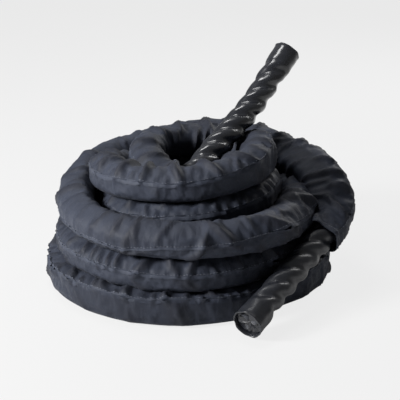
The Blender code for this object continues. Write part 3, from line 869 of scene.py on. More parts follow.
def settled(outlines, line, out, up, at, near_mouth, moved):
    """The rings after the cloth has buckled over the rope. It is held where it rests, along the seam and
    at its mouths, and no point moves further than the cap."""
    if not rope_sizes().cloth_excess:
        return outlines
    half = np.array((SLEEVE_WIDE, SLEEVE_HIGH)) / 2
    level = outlines / half
    held = np.max([
        ramp(sign * level[..., axis], start, width) * firmness
        for axis, sign, start, width, firmness in HELD_SIDES
    ], axis=0)
    held[:, (0, -1)] = 1.0
    held = np.maximum(held, np.clip(1 - near_mouth / HELD_MOUTH, 0, 1)[:, None])
    held = np.round(np.clip(held, HELD_LEAST, 1), 2)
    moves = cloth_moves(square_to(line, outlines, out, up), held)
    length = np.linalg.norm(moves, axis=2, keepdims=True)
    moves = moves * np.minimum(1, MOVE_CAP / np.maximum(length, 1e-9))
    ways = np.stack([(moves * out[:, None]).sum(axis=2), (moves * up[:, None]).sum(axis=2)], axis=2)
    normals = outline_normals(outlines)
    outwards = (ways * normals).sum(axis=2)
    gentle = np.where(outwards > 0, SWELL_CAP * np.tanh(outwards / SWELL_CAP), outwards)
    ways += normals * (gentle - outwards)[..., None]
    outlines = outlines + ways + FIRM_FOLD_SHARE * normals * moved[..., None]
    outlines[..., 1] = np.maximum(outlines[..., 1], -half[1])
    drop = core_drop(np.minimum(at, at[-1] + at[0] - at))[:, None]
    from_rope = outlines + np.stack([np.zeros_like(drop), drop], axis=2)
    reach = np.linalg.norm(from_rope, axis=2, keepdims=True)
    least = ROPE_RADIUS + SLEEVE_WALL
    return outlines + from_rope * (np.maximum(least / reach, 1) - 1)


def folded(outlines, at, around, places, near_mouth):
    """How far the folds move each point of the rings outwards."""
    from_crease = np.where(around > around[-1] * BACK_FROM_SHARE, around - around[-1], around)
    moved = fold_depths(at, from_crease, fold_list(at, places)) * rope_sizes().fold_depth
    moved *= (np.clip(near_mouth / CALM_LENGTH, 0, 1) * (1 - CALM_SHARE) + CALM_SHARE)[:, None]
    underside = ramp(outlines[..., 1] / (SLEEVE_HIGH / 2), -1.0, UNDERSIDE_SHARE)
    moved *= underside
    cap = np.where(moved > 0, RIDGE_CAP, VALLEY_CAP)
    moved = cap * np.tanh(moved / cap)
    return moved + (slow_wave(at, *SLACK_WAVE) - SLACK_DROP)[:, None] * underside


@functools.lru_cache(maxsize=None)
def made_sleeve():
    """The sleeve's rings, how far along and around their points are, and how deep each lies in a fold."""
    step = rope_sizes().cloth_step
    at, places = cloth_stations(step, HIDDEN_STEPS * step)
    route, _, mouths, _ = packed_route()
    line = eased_line(route, at)
    _, out, up = smooth_axes(line)
    outlines = section_points(at, places)
    steps = np.linalg.norm(np.diff(outlines, axis=1), axis=2).mean(axis=0)
    around = np.concatenate([[0], np.cumsum(steps)])
    near_mouth = np.minimum(at - mouths[0], mouths[1] - at)
    moved = folded(outlines, at, around, places, near_mouth)
    outlines = outlines + outline_normals(outlines) * moved[..., None]
    outlines = settled(outlines, line, out, up, at, near_mouth, moved)
    normals = outline_normals(outlines)
    lap_way = outlines[:, -3:-2] - outlines[:, -1:]
    lap = outlines[:, :1] + lap_way * LAP_SHARE - normals[:, -1:] * LAP_UNDER
    fin_way = unit(outlines[:, -1:] - outlines[:, -2:-1])
    fin = outlines[:, -1:] + fin_way * FIN_HEIGHT + normals[:, -2:-1] * FIN_LIFT
    proud = outlines.copy()
    proud[:, -1:] += normals[:, -2:-1] * SEAM_LIFT
    points = square_to(line, np.concatenate([lap, proud, fin], axis=1), out, up)
    points[..., 2] = np.maximum(points[..., 2], SEAT_GAP / 4)
    depth = np.concatenate([moved[:, :1], moved, moved[:, -1:]], axis=1)
    return at, points, np.concatenate([[-LAP_DEPTH], around, [around[-1] + FIN_HEIGHT]]), depth


def add_attribute(mesh, name, values):
    """Stores one number a point."""
    layer = mesh.attributes.new(name, "FLOAT", "POINT")
    layer.data.foreach_set("value", np.asarray(values, float).reshape(-1))


def new_group(name, inputs, outputs):
    """An empty shader node group with its sockets."""
    tree = bpy.data.node_groups.new(name, "ShaderNodeTree")
    for title, kind, value in inputs:
        socket = tree.interface.new_socket(title, in_out="INPUT", socket_type=kind)
        if value is not None:
            socket.default_value = value
    for title, kind in outputs:
        tree.interface.new_socket(title, in_out="OUTPUT", socket_type=kind)
    return tree


def feed(tree, node, inputs):
    """Fills a node's inputs. Each one is a value, or a socket to link."""
    for name, value in inputs.items():
        if isinstance(value, bpy.types.NodeSocket):
            tree.links.new(value, node.inputs[name])
        else:
            node.inputs[name].default_value = value


def add_node(tree, kind, inputs=None, **settings):
    """A node with its settings and its inputs."""
    node = tree.nodes.new(kind)
    for name, value in settings.items():
        setattr(node, name, value)
    feed(tree, node, inputs or {})
    return node


def math_node(tree, operation, first, second=None, clamp=False):
    """A Math node from sockets or numbers."""
    inputs = {0: first} if second is None else {0: first, 1: second}
    return add_node(tree, "ShaderNodeMath", inputs, operation=operation, use_clamp=clamp).outputs[0]


def scaled(tree, value, factor, plus=None, clamp=False):
    """A socket times a number, with another one added where it is given."""
    product = math_node(tree, "MULTIPLY", value, factor, clamp)
    return product if plus is None else math_node(tree, "ADD", product, plus)


def noise(tree, vector, scale, detail, roughness=0.5, distortion=0.0):
    """A Noise node's value."""
    return add_node(tree, "ShaderNodeTexNoise", {
        "Vector": vector, "Scale": scale, "Detail": detail, "Roughness": roughness, "Distortion": distortion,
    }).outputs["Fac"]


@functools.lru_cache(maxsize=None)
def weave_group():
    """Plain weave: threads over and under each other on a map in metres."""
    tree = new_group(
        "woven_threads",
        (("Map", "NodeSocketVector", None), ("Thread", "NodeSocketFloat", THREAD_WIDTH)),
        (("Height", "NodeSocketFloat"), ("Gap", "NodeSocketFloat")),
    )
    entry = add_node(tree, "NodeGroupInput").outputs
    parts = add_node(tree, "ShaderNodeSeparateXYZ", {0: entry["Map"]})
    waves = []
    for axis in (0, 1):
        share = math_node(tree, "DIVIDE", parts.outputs[axis], entry["Thread"])
        waves.append(math_node(tree, "SINE", scaled(tree, share, math.pi)))
    over = math_node(tree, "MULTIPLY", *waves)
    ridges = math_node(tree, "MULTIPLY", *(math_node(tree, "ABSOLUTE", wave) for wave in waves))
    height = scaled(tree, scaled(tree, over, 0.5, plus=0.5), 0.45, plus=scaled(tree, ridges, 0.55))
    add_node(tree, "NodeGroupOutput", {"Height": height, "Gap": math_node(tree, "SUBTRACT", 1.0, ridges)})
    return tree


@functools.lru_cache(maxsize=None)
def wear_group():
    """Uneven colour over a surface: soft patches, and fine flecks of dust."""
    tree = new_group(
        "handled_wear",
        (("Vector", "NodeSocketVector", None), ("Patch Size", "NodeSocketFloat", 12.0),
         ("Fleck Size", "NodeSocketFloat", 260.0)),
        (("Patches", "NodeSocketFloat"), ("Flecks", "NodeSocketFloat")),
    )
    entry = add_node(tree, "NodeGroupInput").outputs
    patches = noise(tree, entry["Vector"], entry["Patch Size"], 4.0, 0.55)
    flecks = noise(tree, entry["Vector"], entry["Fleck Size"], 2.0, 0.6)
    spots = scaled(tree, math_node(tree, "SUBTRACT", flecks, 0.60), 6.0, clamp=True)
    add_node(tree, "NodeGroupOutput", {"Patches": patches, "Flecks": spots})
    return tree


def drawn_noise(tree, chart, stretch, detail, roughness=0.5, distortion=0.0):
    """Noise on the piece's own map, stretched along it."""
    mapped = add_node(tree, "ShaderNodeMapping", {"Vector": chart, "Scale": (*stretch, 1.0)})
    return noise(tree, mapped.outputs[0], 1.0, detail, roughness, distortion)


def cloth_chart(tree):
    """The piece's own map, in metres."""
    return add_node(tree, "ShaderNodeUVMap", uv_map="cloth_map").outputs[0]


def object_place(tree):
    """A place on the object, in metres."""
    return add_node(tree, "ShaderNodeTexCoord").outputs["Object"]


def worn(tree, patch_size, fleck_size):
    """The patches and the flecks of wear, over the whole piece."""
    inputs = {"Vector": object_place(tree), "Patch Size": patch_size, "Fleck Size": fleck_size}
    wear = add_node(tree, "ShaderNodeGroup", inputs, node_tree=wear_group())
    return wear.outputs["Patches"], wear.outputs["Flecks"]


def new_material(name, roughness, sheen=0.0, coat=0.0, specular=0.5):
    """A material with a Principled shader, and that shader's tree."""
    material = bpy.data.materials.new(name)
    material.use_nodes = True
    tree = material.node_tree
    shader = tree.nodes["Principled BSDF"]
    feed(tree, shader, {"Roughness": roughness, "Specular IOR Level": specular})
    if sheen:
        feed(tree, shader, {"Sheen Weight": sheen, "Sheen Roughness": SHEEN_ROUGHNESS})
    if coat:
        feed(tree, shader, {"Coat Weight": coat, "Coat Roughness": COAT_ROUGHNESS})
    return material, tree, shader


def mix_colour(tree, share, first, second):
    """A colour mix from sockets or colours."""
    ends = [value if isinstance(value, bpy.types.NodeSocket) else (*value, 1.0) for value in (first, second)]
    return add_node(tree, "ShaderNodeMix", {0: share, 6: ends[0], 7: ends[1]}, data_type="RGBA").outputs[2]


def bump(tree, height, distance, strength, before=None):
    """A Bump node's normal, on top of another where one is given."""
    inputs = {"Height": height, "Distance": distance, "Strength": strength}
    if before is not None:
        inputs["Normal"] = before
    return add_node(tree, "ShaderNodeBump", inputs).outputs[0]


@functools.lru_cache(maxsize=None)
def cloth_material():
    """Woven nylon: fine threads, small creases across the sleeve, a painted highlight on the ridges of its
    folds and along its seam, with rubbing wear there too, and painted shade in the valleys of its folds.
    """
    colours = rope_colours()
    material, tree, shader = new_material("woven_nylon_cloth", 0.6, sheen=0.02, specular=0.12)
    chart = cloth_chart(tree)
    weave = add_node(tree, "ShaderNodeGroup", {"Map": chart, "Thread": THREAD_WIDTH}, node_tree=weave_group())
    patches, flecks = worn(tree, 14.0, 420.0)
    fold = add_node(tree, "ShaderNodeAttribute", attribute_name="fold").outputs["Fac"]
    # Painted highlight: the ridges of the folds and the seam's edge are lightened towards the worn colour,
    # which also stands for rubbing wear.
    ridge_highlight = scaled(tree, scaled(tree, fold, 1.0, clamp=True), 0.55)
    # Painted shade: the valleys of the folds are darkened towards the weave-gap colour.
    valley = scaled(tree, scaled(tree, fold, -3.3, clamp=True), 0.75)
    base = mix_colour(tree, patches, colours.cloth_dark, colours.cloth)
    highlit_and_rubbed = mix_colour(tree, ridge_highlight, base, colours.cloth_worn_and_highlight)
    shaded = mix_colour(tree, valley, highlit_and_rubbed, colours.cloth_gap_and_fold_shade)
    dusty = mix_colour(tree, scaled(tree, flecks, 0.10), shaded, colours.dust)
    threads = mix_colour(tree, scaled(tree, weave.outputs["Gap"], 0.45), dusty, colours.cloth_gap_and_fold_shade)
    creases = drawn_noise(tree, chart, (64.0, 30.0), 3.0, distortion=0.6)
    sharp = math_node(tree, "ABSOLUTE", math_node(tree, "SUBTRACT", creases, 0.5))
    coarse = bump(tree, sharp, 0.006, 0.35)
    feed(tree, shader, {
        "Base Color": threads,
        "Normal": bump(tree, weave.outputs["Height"], 0.00025, 0.8, before=coarse),
        "Roughness": scaled(tree, patches, 0.16, plus=0.48),
    })
    return material


@functools.lru_cache(maxsize=None)
def thread_material():
    """Sewing thread, twisted."""
    colours = rope_colours()
    material, tree, shader = new_material("seam_thread", 0.6, sheen=0.1)
    patches, flecks = worn(tree, 60.0, 900.0)
    base = mix_colour(tree, patches, colours.thread, colours.cloth_worn_and_highlight)
    feed(tree, shader, {"Base Color": base, "Normal": bump(tree, flecks, 0.0002, 0.6)})
    return material


@functools.lru_cache(maxsize=None)
def film_material(name, roughness, coat):
    """Shrunk film: black, with long drawn marks, small dents and scuffs."""
    colours = rope_colours()
    material, tree, shader = new_material(name, roughness, coat=coat, specular=0.36)
    patches, flecks = worn(tree, 38.0, 700.0)
    base = mix_colour(tree, patches, colours.film, colours.film_worn)
    marks = drawn_noise(tree, cloth_chart(tree), (38.0, 240.0), 4.0, 0.55)
    dents = noise(tree, object_place(tree), 60.0, 2.0)
    coarse = bump(tree, dents, 0.0022, 0.28)
    feed(tree, shader, {
        "Base Color": mix_colour(tree, scaled(tree, flecks, 0.12), base, colours.dust),
        "Normal": bump(tree, marks, 0.0006, 0.3, before=coarse),
        "Roughness": scaled(tree, patches, 0.22, plus=roughness - 0.1),
    })
    return material


@functools.lru_cache(maxsize=None)
def fibre_material():
    """Laid polyester: thin yarns along each strand."""
    colours = rope_colours()
    material, tree, shader = new_material("laid_fibre", 0.8, sheen=0.12)
    yarns = drawn_noise(tree, cloth_chart(tree), (120.0, 900.0), 2.0)
    base = mix_colour(tree, yarns, colours.fibre, colours.cloth)
    feed(tree, shader, {"Base Color": base, "Normal": bump(tree, yarns, 0.0008, 0.8)})
    return material


@functools.lru_cache(maxsize=None)
def tape_material():
    """Cloth-backed tape round the strands."""
    colours = rope_colours()
    material, tree, shader = new_material("whipping_tape_finish", 0.55)
    patches, flecks = worn(tree, 50.0, 1200.0)
    base = mix_colour(tree, patches, colours.film, colours.film_worn)
    feed(tree, shader, {"Base Color": base, "Normal": bump(tree, flecks, 0.0003, 0.5)})
    return material


def place_piece(name, mesh, material, slot, *nodes):
    """A finished piece of the rope, in place of the plain solids named."""
    obj = link(bpy.data.objects.new(name, mesh))
    if not obj.data.materials:
        obj.data.materials.append(material)
    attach(obj, BODY)
    if nodes:
        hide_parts(*nodes)
    return obj


def rope_route(at):
    """The rope's own middle line at the given distances along the route."""
    route, total = tip_to_tip()
    line = eased_line(route, at)
    _, _, up = section_axes(line)
    drop = core_drop(np.minimum(at, total - at))
    return line - up * drop[:, None]


def laid_strands():
    """The rings and the map of each of the three strands, and the line that they turn round."""
    _, total = tip_to_tip()
    cut = CAP_RECESS + CAP_THICKNESS + SEAT_GAP
    at = np.linspace(cut, total - cut, int(total / STRAND_STEP))
    middle = rope_route(at)
    lengths = run_lengths(middle)
    _, out, up = section_axes(middle)
    tip = np.minimum(at, total - at)
    squeeze = 1 - (1 - GRIPPED_SHARE) * (1 - ramp(tip, GRIP_LENGTH, SLEEVE_WIDE))
    first = np.array([strand_turn(length + cut, lengths[-1] + 2 * cut) for length in lengths])
    spin = np.arange(STRAND_SIDES) * math.tau / STRAND_SIDES
    chart = strip_map(lengths, spin * STRAND_RADIUS)
    tubes = []
    for strand in range(LOBES):
        angle = first + math.tau * strand / LOBES
        heart = round_points(middle, (ROPE_RADIUS - STRAND_RADIUS) * squeeze, angle, out, up)
        _, across, over = section_axes(heart)
        radius = (STRAND_RADIUS * squeeze)[:, None]
        tubes.append((round_points(heart[:, None], radius, spin, across[:, None], over[:, None]), chart))
    return tubes, middle


def capped_tubes(name, tubes):
    """Tubes in one mesh, each closed at both ends."""
    parts = []
    for points, chart in tubes:
        ends = [np.broadcast_to(points[end].mean(axis=0), (1,) + points.shape[1:]) for end in (0, -1)]
        rings = np.concatenate([ends[0], points, ends[1]])
        sheet = np.concatenate([chart[:1], chart, chart[-1:]])
        parts.append(grid_mesh(name + "_part", rings, closed=True, sheet_uv=sheet))
    return merged(name, parts)


def film_rings(at, total, angles):
    """The film's reach and angle round the rope, at the given distances along it."""
    drawn = TAUT_SHARE * ((1 - np.cos(LOBES * angles)) / 2) ** TAUT_POWER
    taut = ROPE_RADIUS * (1 - drawn) + SEAT_GAP + FILM_WALL
    tip = np.minimum(at, total - at)
    round_share = 1 - ramp(tip, FLARE_LENGTH, FLARE_LENGTH / 2)
    round_share = round_share**2 * (3 - 2 * round_share)
    spread = LIP_SPREAD * (1 - np.clip(tip / LIP_LENGTH, 0, 1)) ** 2
    flare_reach = TAPE_REACH + SEAT_GAP + FILM_WALL
    reach = taut + round_share[:, None] * (flare_reach - taut) + spread[:, None]
    within = np.clip(at, FLARE_LENGTH, total - FLARE_LENGTH)
    turn = np.array([strand_turn(length, total) for length in within])
    return reach, angles[None] + turn[:, None]


def film_ripples(at, around, seed):
    """Fine shrink marks on the film."""
    chance = np.random.default_rng(seed)
    total = np.zeros((len(at), around.shape[1]))
    for _ in range(RIPPLES):
        along = chance.uniform(*RIPPLE_WAVES)
        turns = chance.integers(*RIPPLE_TURNS)
        phase = chance.uniform(0, math.tau)
        size = RIPPLE_SIZE * (RIPPLE_EASE / (RIPPLE_EASE + along)) ** 0.5
        total += size * np.sin(along * at[:, None] * chance.choice((-1, 1)) + turns * around + phase)
    return total


def film_piece(name, at_start, seed):
    """One grip: the outer skin, its rolled lip and its inner skin, as one closed wall."""
    _, route_total = tip_to_tip()
    lip_rings = np.linspace(0, FILM_END, FILM_END_RINGS)[:-1]
    tip = np.concatenate([lip_rings, np.arange(FILM_END, GRIP_LENGTH, FILM_STEP), [GRIP_LENGTH]])
    at = tip if at_start else route_total - tip
    fine = np.linspace(0, route_total, int(route_total / ROPE_STEP_FINE))
    rope_lengths = run_lengths(rope_route(fine))
    line = rope_route(at)
    order = np.argsort(at)
    _, out, up = (axis[np.argsort(order)] for axis in section_axes(line[order]))
    angles = np.arange(GRIP_SPOKES) * math.tau / GRIP_SPOKES
    reach, around = film_rings(np.interp(at, fine, rope_lengths), rope_lengths[-1], angles)
    calm = np.clip(tip / RIPPLE_CALM, RIPPLE_CALM_SHARE, 1)
    reach = reach + film_ripples(tip, around, seed) * calm[:, None]
    inner = reach - FILM_WALL
    crush = LIP_CRUSH * np.exp(-tip / LIP_CRUSH_LENGTH)[:, None]
    for share, waves, phase in LIP_CRUSH_WAVES:
        reach = reach + share * crush * np.sin(waves * around + phase)
    way = unit(line[0] - line[1])

    def ring(which, radius, push=0.0):
        return round_points(line[which] + way * push, radius, around[which], out[which], up[which])

    rows = [ring(which, reach[which]) for which in range(len(at) - 1, -1, -1)]
    for turn in np.linspace(0, math.pi, 6)[1:-1]:
        radius = reach[0] - FILM_WALL / 2 * (1 - math.cos(turn))
        rows.append(ring(0, radius, FILM_WALL / 2 * math.sin(turn)))
    inner_rings = [which for which in range(len(at)) if which % INNER_SKIP == 0 or tip[which] < INNER_END]
    rows += [ring(which, inner[which]) for which in inner_rings]
    rows.append(rows[0])
    lengths = np.concatenate([tip[::-1], [LIP_MAP_PLACE] * 4, -tip[inner_rings], [-GRIP_LENGTH]])
    return closed_grid(name, rows, strip_map(lengths, angles * ROPE_RADIUS))


def crumples(share, spin, seed):
    """How far the pressed film stands out, at shares of its radius and angles round it: pleats and dents."""
    chance = np.random.default_rng(seed)
    height = np.zeros((len(share), len(spin)))
    for _ in range(CAP_PLEATS):
        middle = chance.uniform(0, math.tau)
        width = chance.uniform(*PLEAT_WIDTHS)
        size = chance.uniform(*PLEAT_HEIGHTS) * chance.choice((-1, 1), p=(0.6, 0.4))
        bend = chance.uniform(-PLEAT_BEND, PLEAT_BEND)
        beside = (spin[None] - middle - bend * share[:, None] + math.pi) % math.tau - math.pi
        lobe = np.exp(-np.abs(beside / width) ** PLEAT_POWER)
        height += size * lobe * (share * (1.25 - share))[:, None] * 2.2
    across, up = share[:, None] * np.cos(spin), share[:, None] * np.sin(spin)
    for _ in range(CAP_DENTS):
        x, y = chance.uniform(-DENT_SPREAD_SHARE, DENT_SPREAD_SHARE, 2)
        wide = chance.uniform(*DENT_WIDTHS)
        size = chance.uniform(*DENT_HEIGHTS)
        height += size * np.exp(-((across - x) ** 2 + (up - y) ** 2) / wide**2)
    height *= np.clip((1 - share) * 9, 0, 1)[:, None]
    return np.clip(height - CAP_SINK, *CAP_LEVELS)


def crumpled_cap(name, at_start, seed):
    """The film pressed closed over the strands, set back inside the grip's lip."""
    _, total = tip_to_tip()
    line = rope_route(np.array((0.0, CAP_WAY_STEP)) if at_start else np.array((total, total - CAP_WAY_STEP)))
    way = unit(line[0] - line[1])
    _, out, up = (axis[0] for axis in section_axes(line if at_start else line[::-1]))
    share = np.linspace(0, 1, CAP_RINGS + 1)[1:]
    spin = np.arange(GRIP_SPOKES) * math.tau / GRIP_SPOKES
    face = -CAP_RECESS + crumples(share, spin, seed)
    back = -CAP_RECESS - CAP_THICKNESS

    def ring(row, level):
        return round_points(line[0], TAPE_REACH * share[row], spin, out, up) + level * way

    pole = np.tile(line[0] + way * (-CAP_RECESS - CAP_POLE_SINK), (GRIP_SPOKES, 1))
    rows = [pole] + [ring(row, face[row][:, None]) for row in range(CAP_RINGS)]
    rows += [ring(row, back) for row in (CAP_RINGS - 1, CAP_RINGS // 2)]
    rows.append(np.tile(line[0] + way * back, (GRIP_SPOKES, 1)))
    return closed_grid(name, rows, strip_map(np.linspace(0, CAP_MAP_LENGTH, len(rows)), spin * TAPE_REACH))


@functools.lru_cache(maxsize=None)
def hem_band(from_start):
    """The cloth's own rings under one hem, their outward directions, and the way out of the mouth."""
    at, points, _, _ = made_sleeve()
    rings = points[:, 1:-2]
    if not from_start:
        rings, at = rings[::-1], at[-1] - at[::-1] + at[0]
    along = at - at[0]
    stations = np.linspace(0, BINDING_WIDTH, len(HEM_PLUMP_SHARES))
    count = int(np.searchsorted(along, BINDING_WIDTH + HEM_SPARE)) + 1
    band = np.stack([
        np.stack([np.interp(stations, along[:count], rings[:count, side, axis]) for axis in range(3)], axis=1)
        for side in range(rings.shape[1])
    ], axis=1)
    around_way = np.roll(band, -1, axis=1) - np.roll(band, 1, axis=1)
    along_way = np.gradient(band, axis=0)
    normals = unit(np.cross(around_way, along_way))
    middle = band.mean(axis=1, keepdims=True)
    normals *= np.sign(((band - middle) * normals).sum(axis=2).mean())
    return band, normals, unit(-along_way[0].mean(axis=0))


def hem_piece(name, from_start):
    """The turned hem at one mouth: a folded band round the cloth, closed."""
    band, normals, mouth_way = hem_band(from_start)
    outer = [row + normal * HEM_OUTER * plump for row, normal, plump in zip(band, normals, HEM_PLUMP_SHARES)]
    rows = outer[::-1]
    for turn in np.linspace(0, math.pi, 5)[1:-1]:
        level = (HEM_OUTER + HEM_INNER) / 2 * math.cos(turn) + (HEM_OUTER - HEM_INNER) / 2
        rows.append(band[0] + normals[0] * level + mouth_way * HEM_ROLL * math.sin(turn))
    rows += [row - normal * HEM_INNER for row, normal in zip(band, normals)]
    rows.append(rows[0])
    mesh = closed_grid(name, rows, strip_map(np.linspace(0, HEM_MAP_LENGTH, len(rows)), run_lengths(band[0])))
    # The hem is evenly lightened by a share of the painted ridge highlight.
    add_attribute(mesh, "fold", np.full(len(mesh.vertices), HEM_RIDGE_HIGHLIGHT))
    return mesh


def hem_stitch_line(from_start):
    """The line of stitches round one hem."""
    band, normals, _ = hem_band(from_start)
    return band[HEM_STITCH_ROW] + normals[HEM_STITCH_ROW] * (HEM_OUTER + STITCH_LIFT)


def seam_stitch_line():
    """The line of stitches along the seam."""
    _, points, _, _ = made_sleeve()
    beside = points[:, 2] - points[:, 1]
    seam = points[:, 1] + SEAM_PLACE_SHARE * beside
    normals = unit(np.cross(beside, np.gradient(points[:, 1], axis=0)))
    middle = points[:, 1:-1].mean(axis=1)
    normals *= np.sign(((seam - middle) * normals).sum(axis=1))[:, None]
    return seam + normals * STITCH_LIFT


def line_mesh(name, lines):
    """Open or closed lines of points, as edges alone."""
    mesh = bpy.data.meshes.new(name)
    vertices, edges = [], []
    for points, closed in lines:
        first = len(vertices)
        vertices += [tuple(point) for point in points]
        last = first + len(points) - 1
        edges += [(index, index + 1) for index in range(first, last)]
        if closed:
            edges.append((last, first))
    mesh.from_pydata(vertices, edges, [])
    return mesh


def stitch_tree(material, lengths, seed):
    """Geometry Nodes: a thread stitch at every step along a line."""
    tree = bpy.data.node_groups.new("stitches_along_a_line", "GeometryNodeTree")
    tree.interface.new_socket("Geometry", in_out="INPUT", socket_type="NodeSocketGeometry")
    for title, value in lengths.items():
        socket = tree.interface.new_socket(title, in_out="INPUT", socket_type="NodeSocketFloat")
        socket.default_value = value
        socket.subtype = "DISTANCE"
    tree.interface.new_socket("Seed", in_out="INPUT", socket_type="NodeSocketInt").default_value = seed
    tree.interface.new_socket("Geometry", in_out="OUTPUT", socket_type="NodeSocketGeometry")
    entry = add_node(tree, "NodeGroupInput").outputs
    curve = add_node(tree, "GeometryNodeMeshToCurve", {0: entry["Geometry"]})
    spots = add_node(tree, "GeometryNodeCurveToPoints", {"Curve": curve.outputs[0], "Length": entry["Pitch"]},
                     mode="LENGTH")
    bead = add_node(tree, "GeometryNodeMeshIcoSphere", {"Radius": 0.5, "Subdivisions": 1})
    size = add_node(tree, "ShaderNodeCombineXYZ", {
        0: entry["Thread Thickness"], 1: entry["Thread Thickness"], 2: entry["Stitch Length"]})
    uneven = add_node(tree, "FunctionNodeRandomValue", {
        "Min": (0.9, 0.9, 0.88), "Max": (1.1, 1.1, 1.08), "Seed": entry["Seed"]}, data_type="FLOAT_VECTOR")
    product = add_node(tree, "ShaderNodeVectorMath", {0: size.outputs[0], 1: uneven.outputs[0]},
                       operation="MULTIPLY")
    put = add_node(tree, "GeometryNodeInstanceOnPoints", {
        "Points": spots.outputs["Points"], "Instance": bead.outputs["Mesh"],
        "Rotation": spots.outputs["Rotation"], "Scale": product.outputs[0]})
    real = add_node(tree, "GeometryNodeRealizeInstances", {0: put.outputs[0]})
    finish = add_node(tree, "GeometryNodeSetMaterial", {"Geometry": real.outputs[0], "Material": material})
    add_node(tree, "NodeGroupOutput", {0: finish.outputs[0]})
    return tree


def baked(obj, name):
    """The object's evaluated shape as a plain mesh, with the modifier gone."""
    graph = bpy.context.evaluated_depsgraph_get()
    mesh = bpy.data.meshes.new_from_object(obj.evaluated_get(graph))
    mesh.name = name
    base = obj.data
    bpy.data.objects.remove(obj)
    bpy.data.meshes.remove(base)
    return mesh


class RopeSizes(PropertyGroup):
    """Sizes that a user may change before the pieces are made."""

    cloth_step: FloatProperty(
        name="Cloth Step", description="Distance between the sleeve's rings where it shows",
        default=0.0035, min=0.002, max=0.01, unit="LENGTH", precision=4)
    fold_depth: FloatProperty(
        name="Fold Depth", description="Depth of the sleeve's folds, as a share of the real one's",
        default=1.0, min=0.0, max=2.0, subtype="FACTOR")
    cloth_excess: FloatProperty(
        name="Cloth Excess", description="How much larger the sleeve is cut than its place on the rope",
        default=0.05, min=0.0, max=0.4, subtype="FACTOR")
    cloth_bending: FloatProperty(
        name="Cloth Bending", description="How stiffly the sleeve bends",
        default=1.0, min=0.0, max=20.0)
    stitch_pitch: FloatProperty(
        name="Stitch Pitch", description="From one stitch of the seam to the next",
        default=0.0055, min=0.002, max=0.02, unit="LENGTH", precision=4)
    stitch_length: FloatProperty(
        name="Stitch Length", description="Length of one stitch",
        default=0.0039, min=0.001, max=0.01, unit="LENGTH", precision=4)
    thread_thickness: FloatProperty(
        name="Thread Thickness", description="Thickness of the sewing thread",
        default=0.0009, min=0.0003, max=0.003, unit="LENGTH", precision=4)
    stitch_seed: IntProperty(
        name="Stitch Seed", description="Seed of the stitches' unevenness", default=5)
    lens: FloatProperty(
        name="Lens", description="Focal length of the camera, in millimetres",
        default=100.0, min=20.0, max=300.0)
    camera_distance: FloatProperty(
        name="Camera Distance", description="From the camera to the middle of the view",
        default=1.90, min=0.5, max=6.0, unit="LENGTH")
    camera_elevation: FloatProperty(
        name="Camera Elevation", description="Angle of the camera above the ground",
        default=math.radians(19.0), min=0.0, max=math.radians(89.0), subtype="ANGLE")


def colour(name, description, default):
    """A colour property."""
    return FloatVectorProperty(
        name=name, description=description, default=default, subtype="COLOR", size=3, min=0.0, max=1.0)


class RopeColours(PropertyGroup):
    """Colours of the rope's finishes."""

    cloth: colour("Cloth", "Woven nylon", (0.0235, 0.028, 0.042))
    cloth_dark: colour("Dark Cloth", "Darker patches of the nylon", (0.016, 0.019, 0.028))
    # Worn cloth: nylon rubbed pale, also used as a painted highlight on the ridges of the folds and along the
    # seam.
    cloth_worn_and_highlight: colour("Worn Cloth", "Nylon rubbed pale on the ridges of its folds", (0.051, 0.059, 0.081))
    # Weave gaps: the dark between the threads, also used as painted shade in the valleys of the folds.
    cloth_gap_and_fold_shade: colour("Weave Gaps", "Between the threads", (0.011, 0.012, 0.017))
    dust: colour("Dust", "Flecks of dust", (0.24, 0.24, 0.25))
    thread: colour("Thread", "Sewing thread", (0.075, 0.082, 0.104))
    film: colour("Film", "Shrunk film of the grips", (0.0058, 0.0064, 0.0088))
    film_worn: colour("Worn Film", "Film dulled by hands", (0.0115, 0.0128, 0.0168))
    fibre: colour("Fibre", "Laid polyester", (0.022, 0.022, 0.024))
    floor: colour("Floor", "Studio floor", (0.855, 0.855, 0.855))


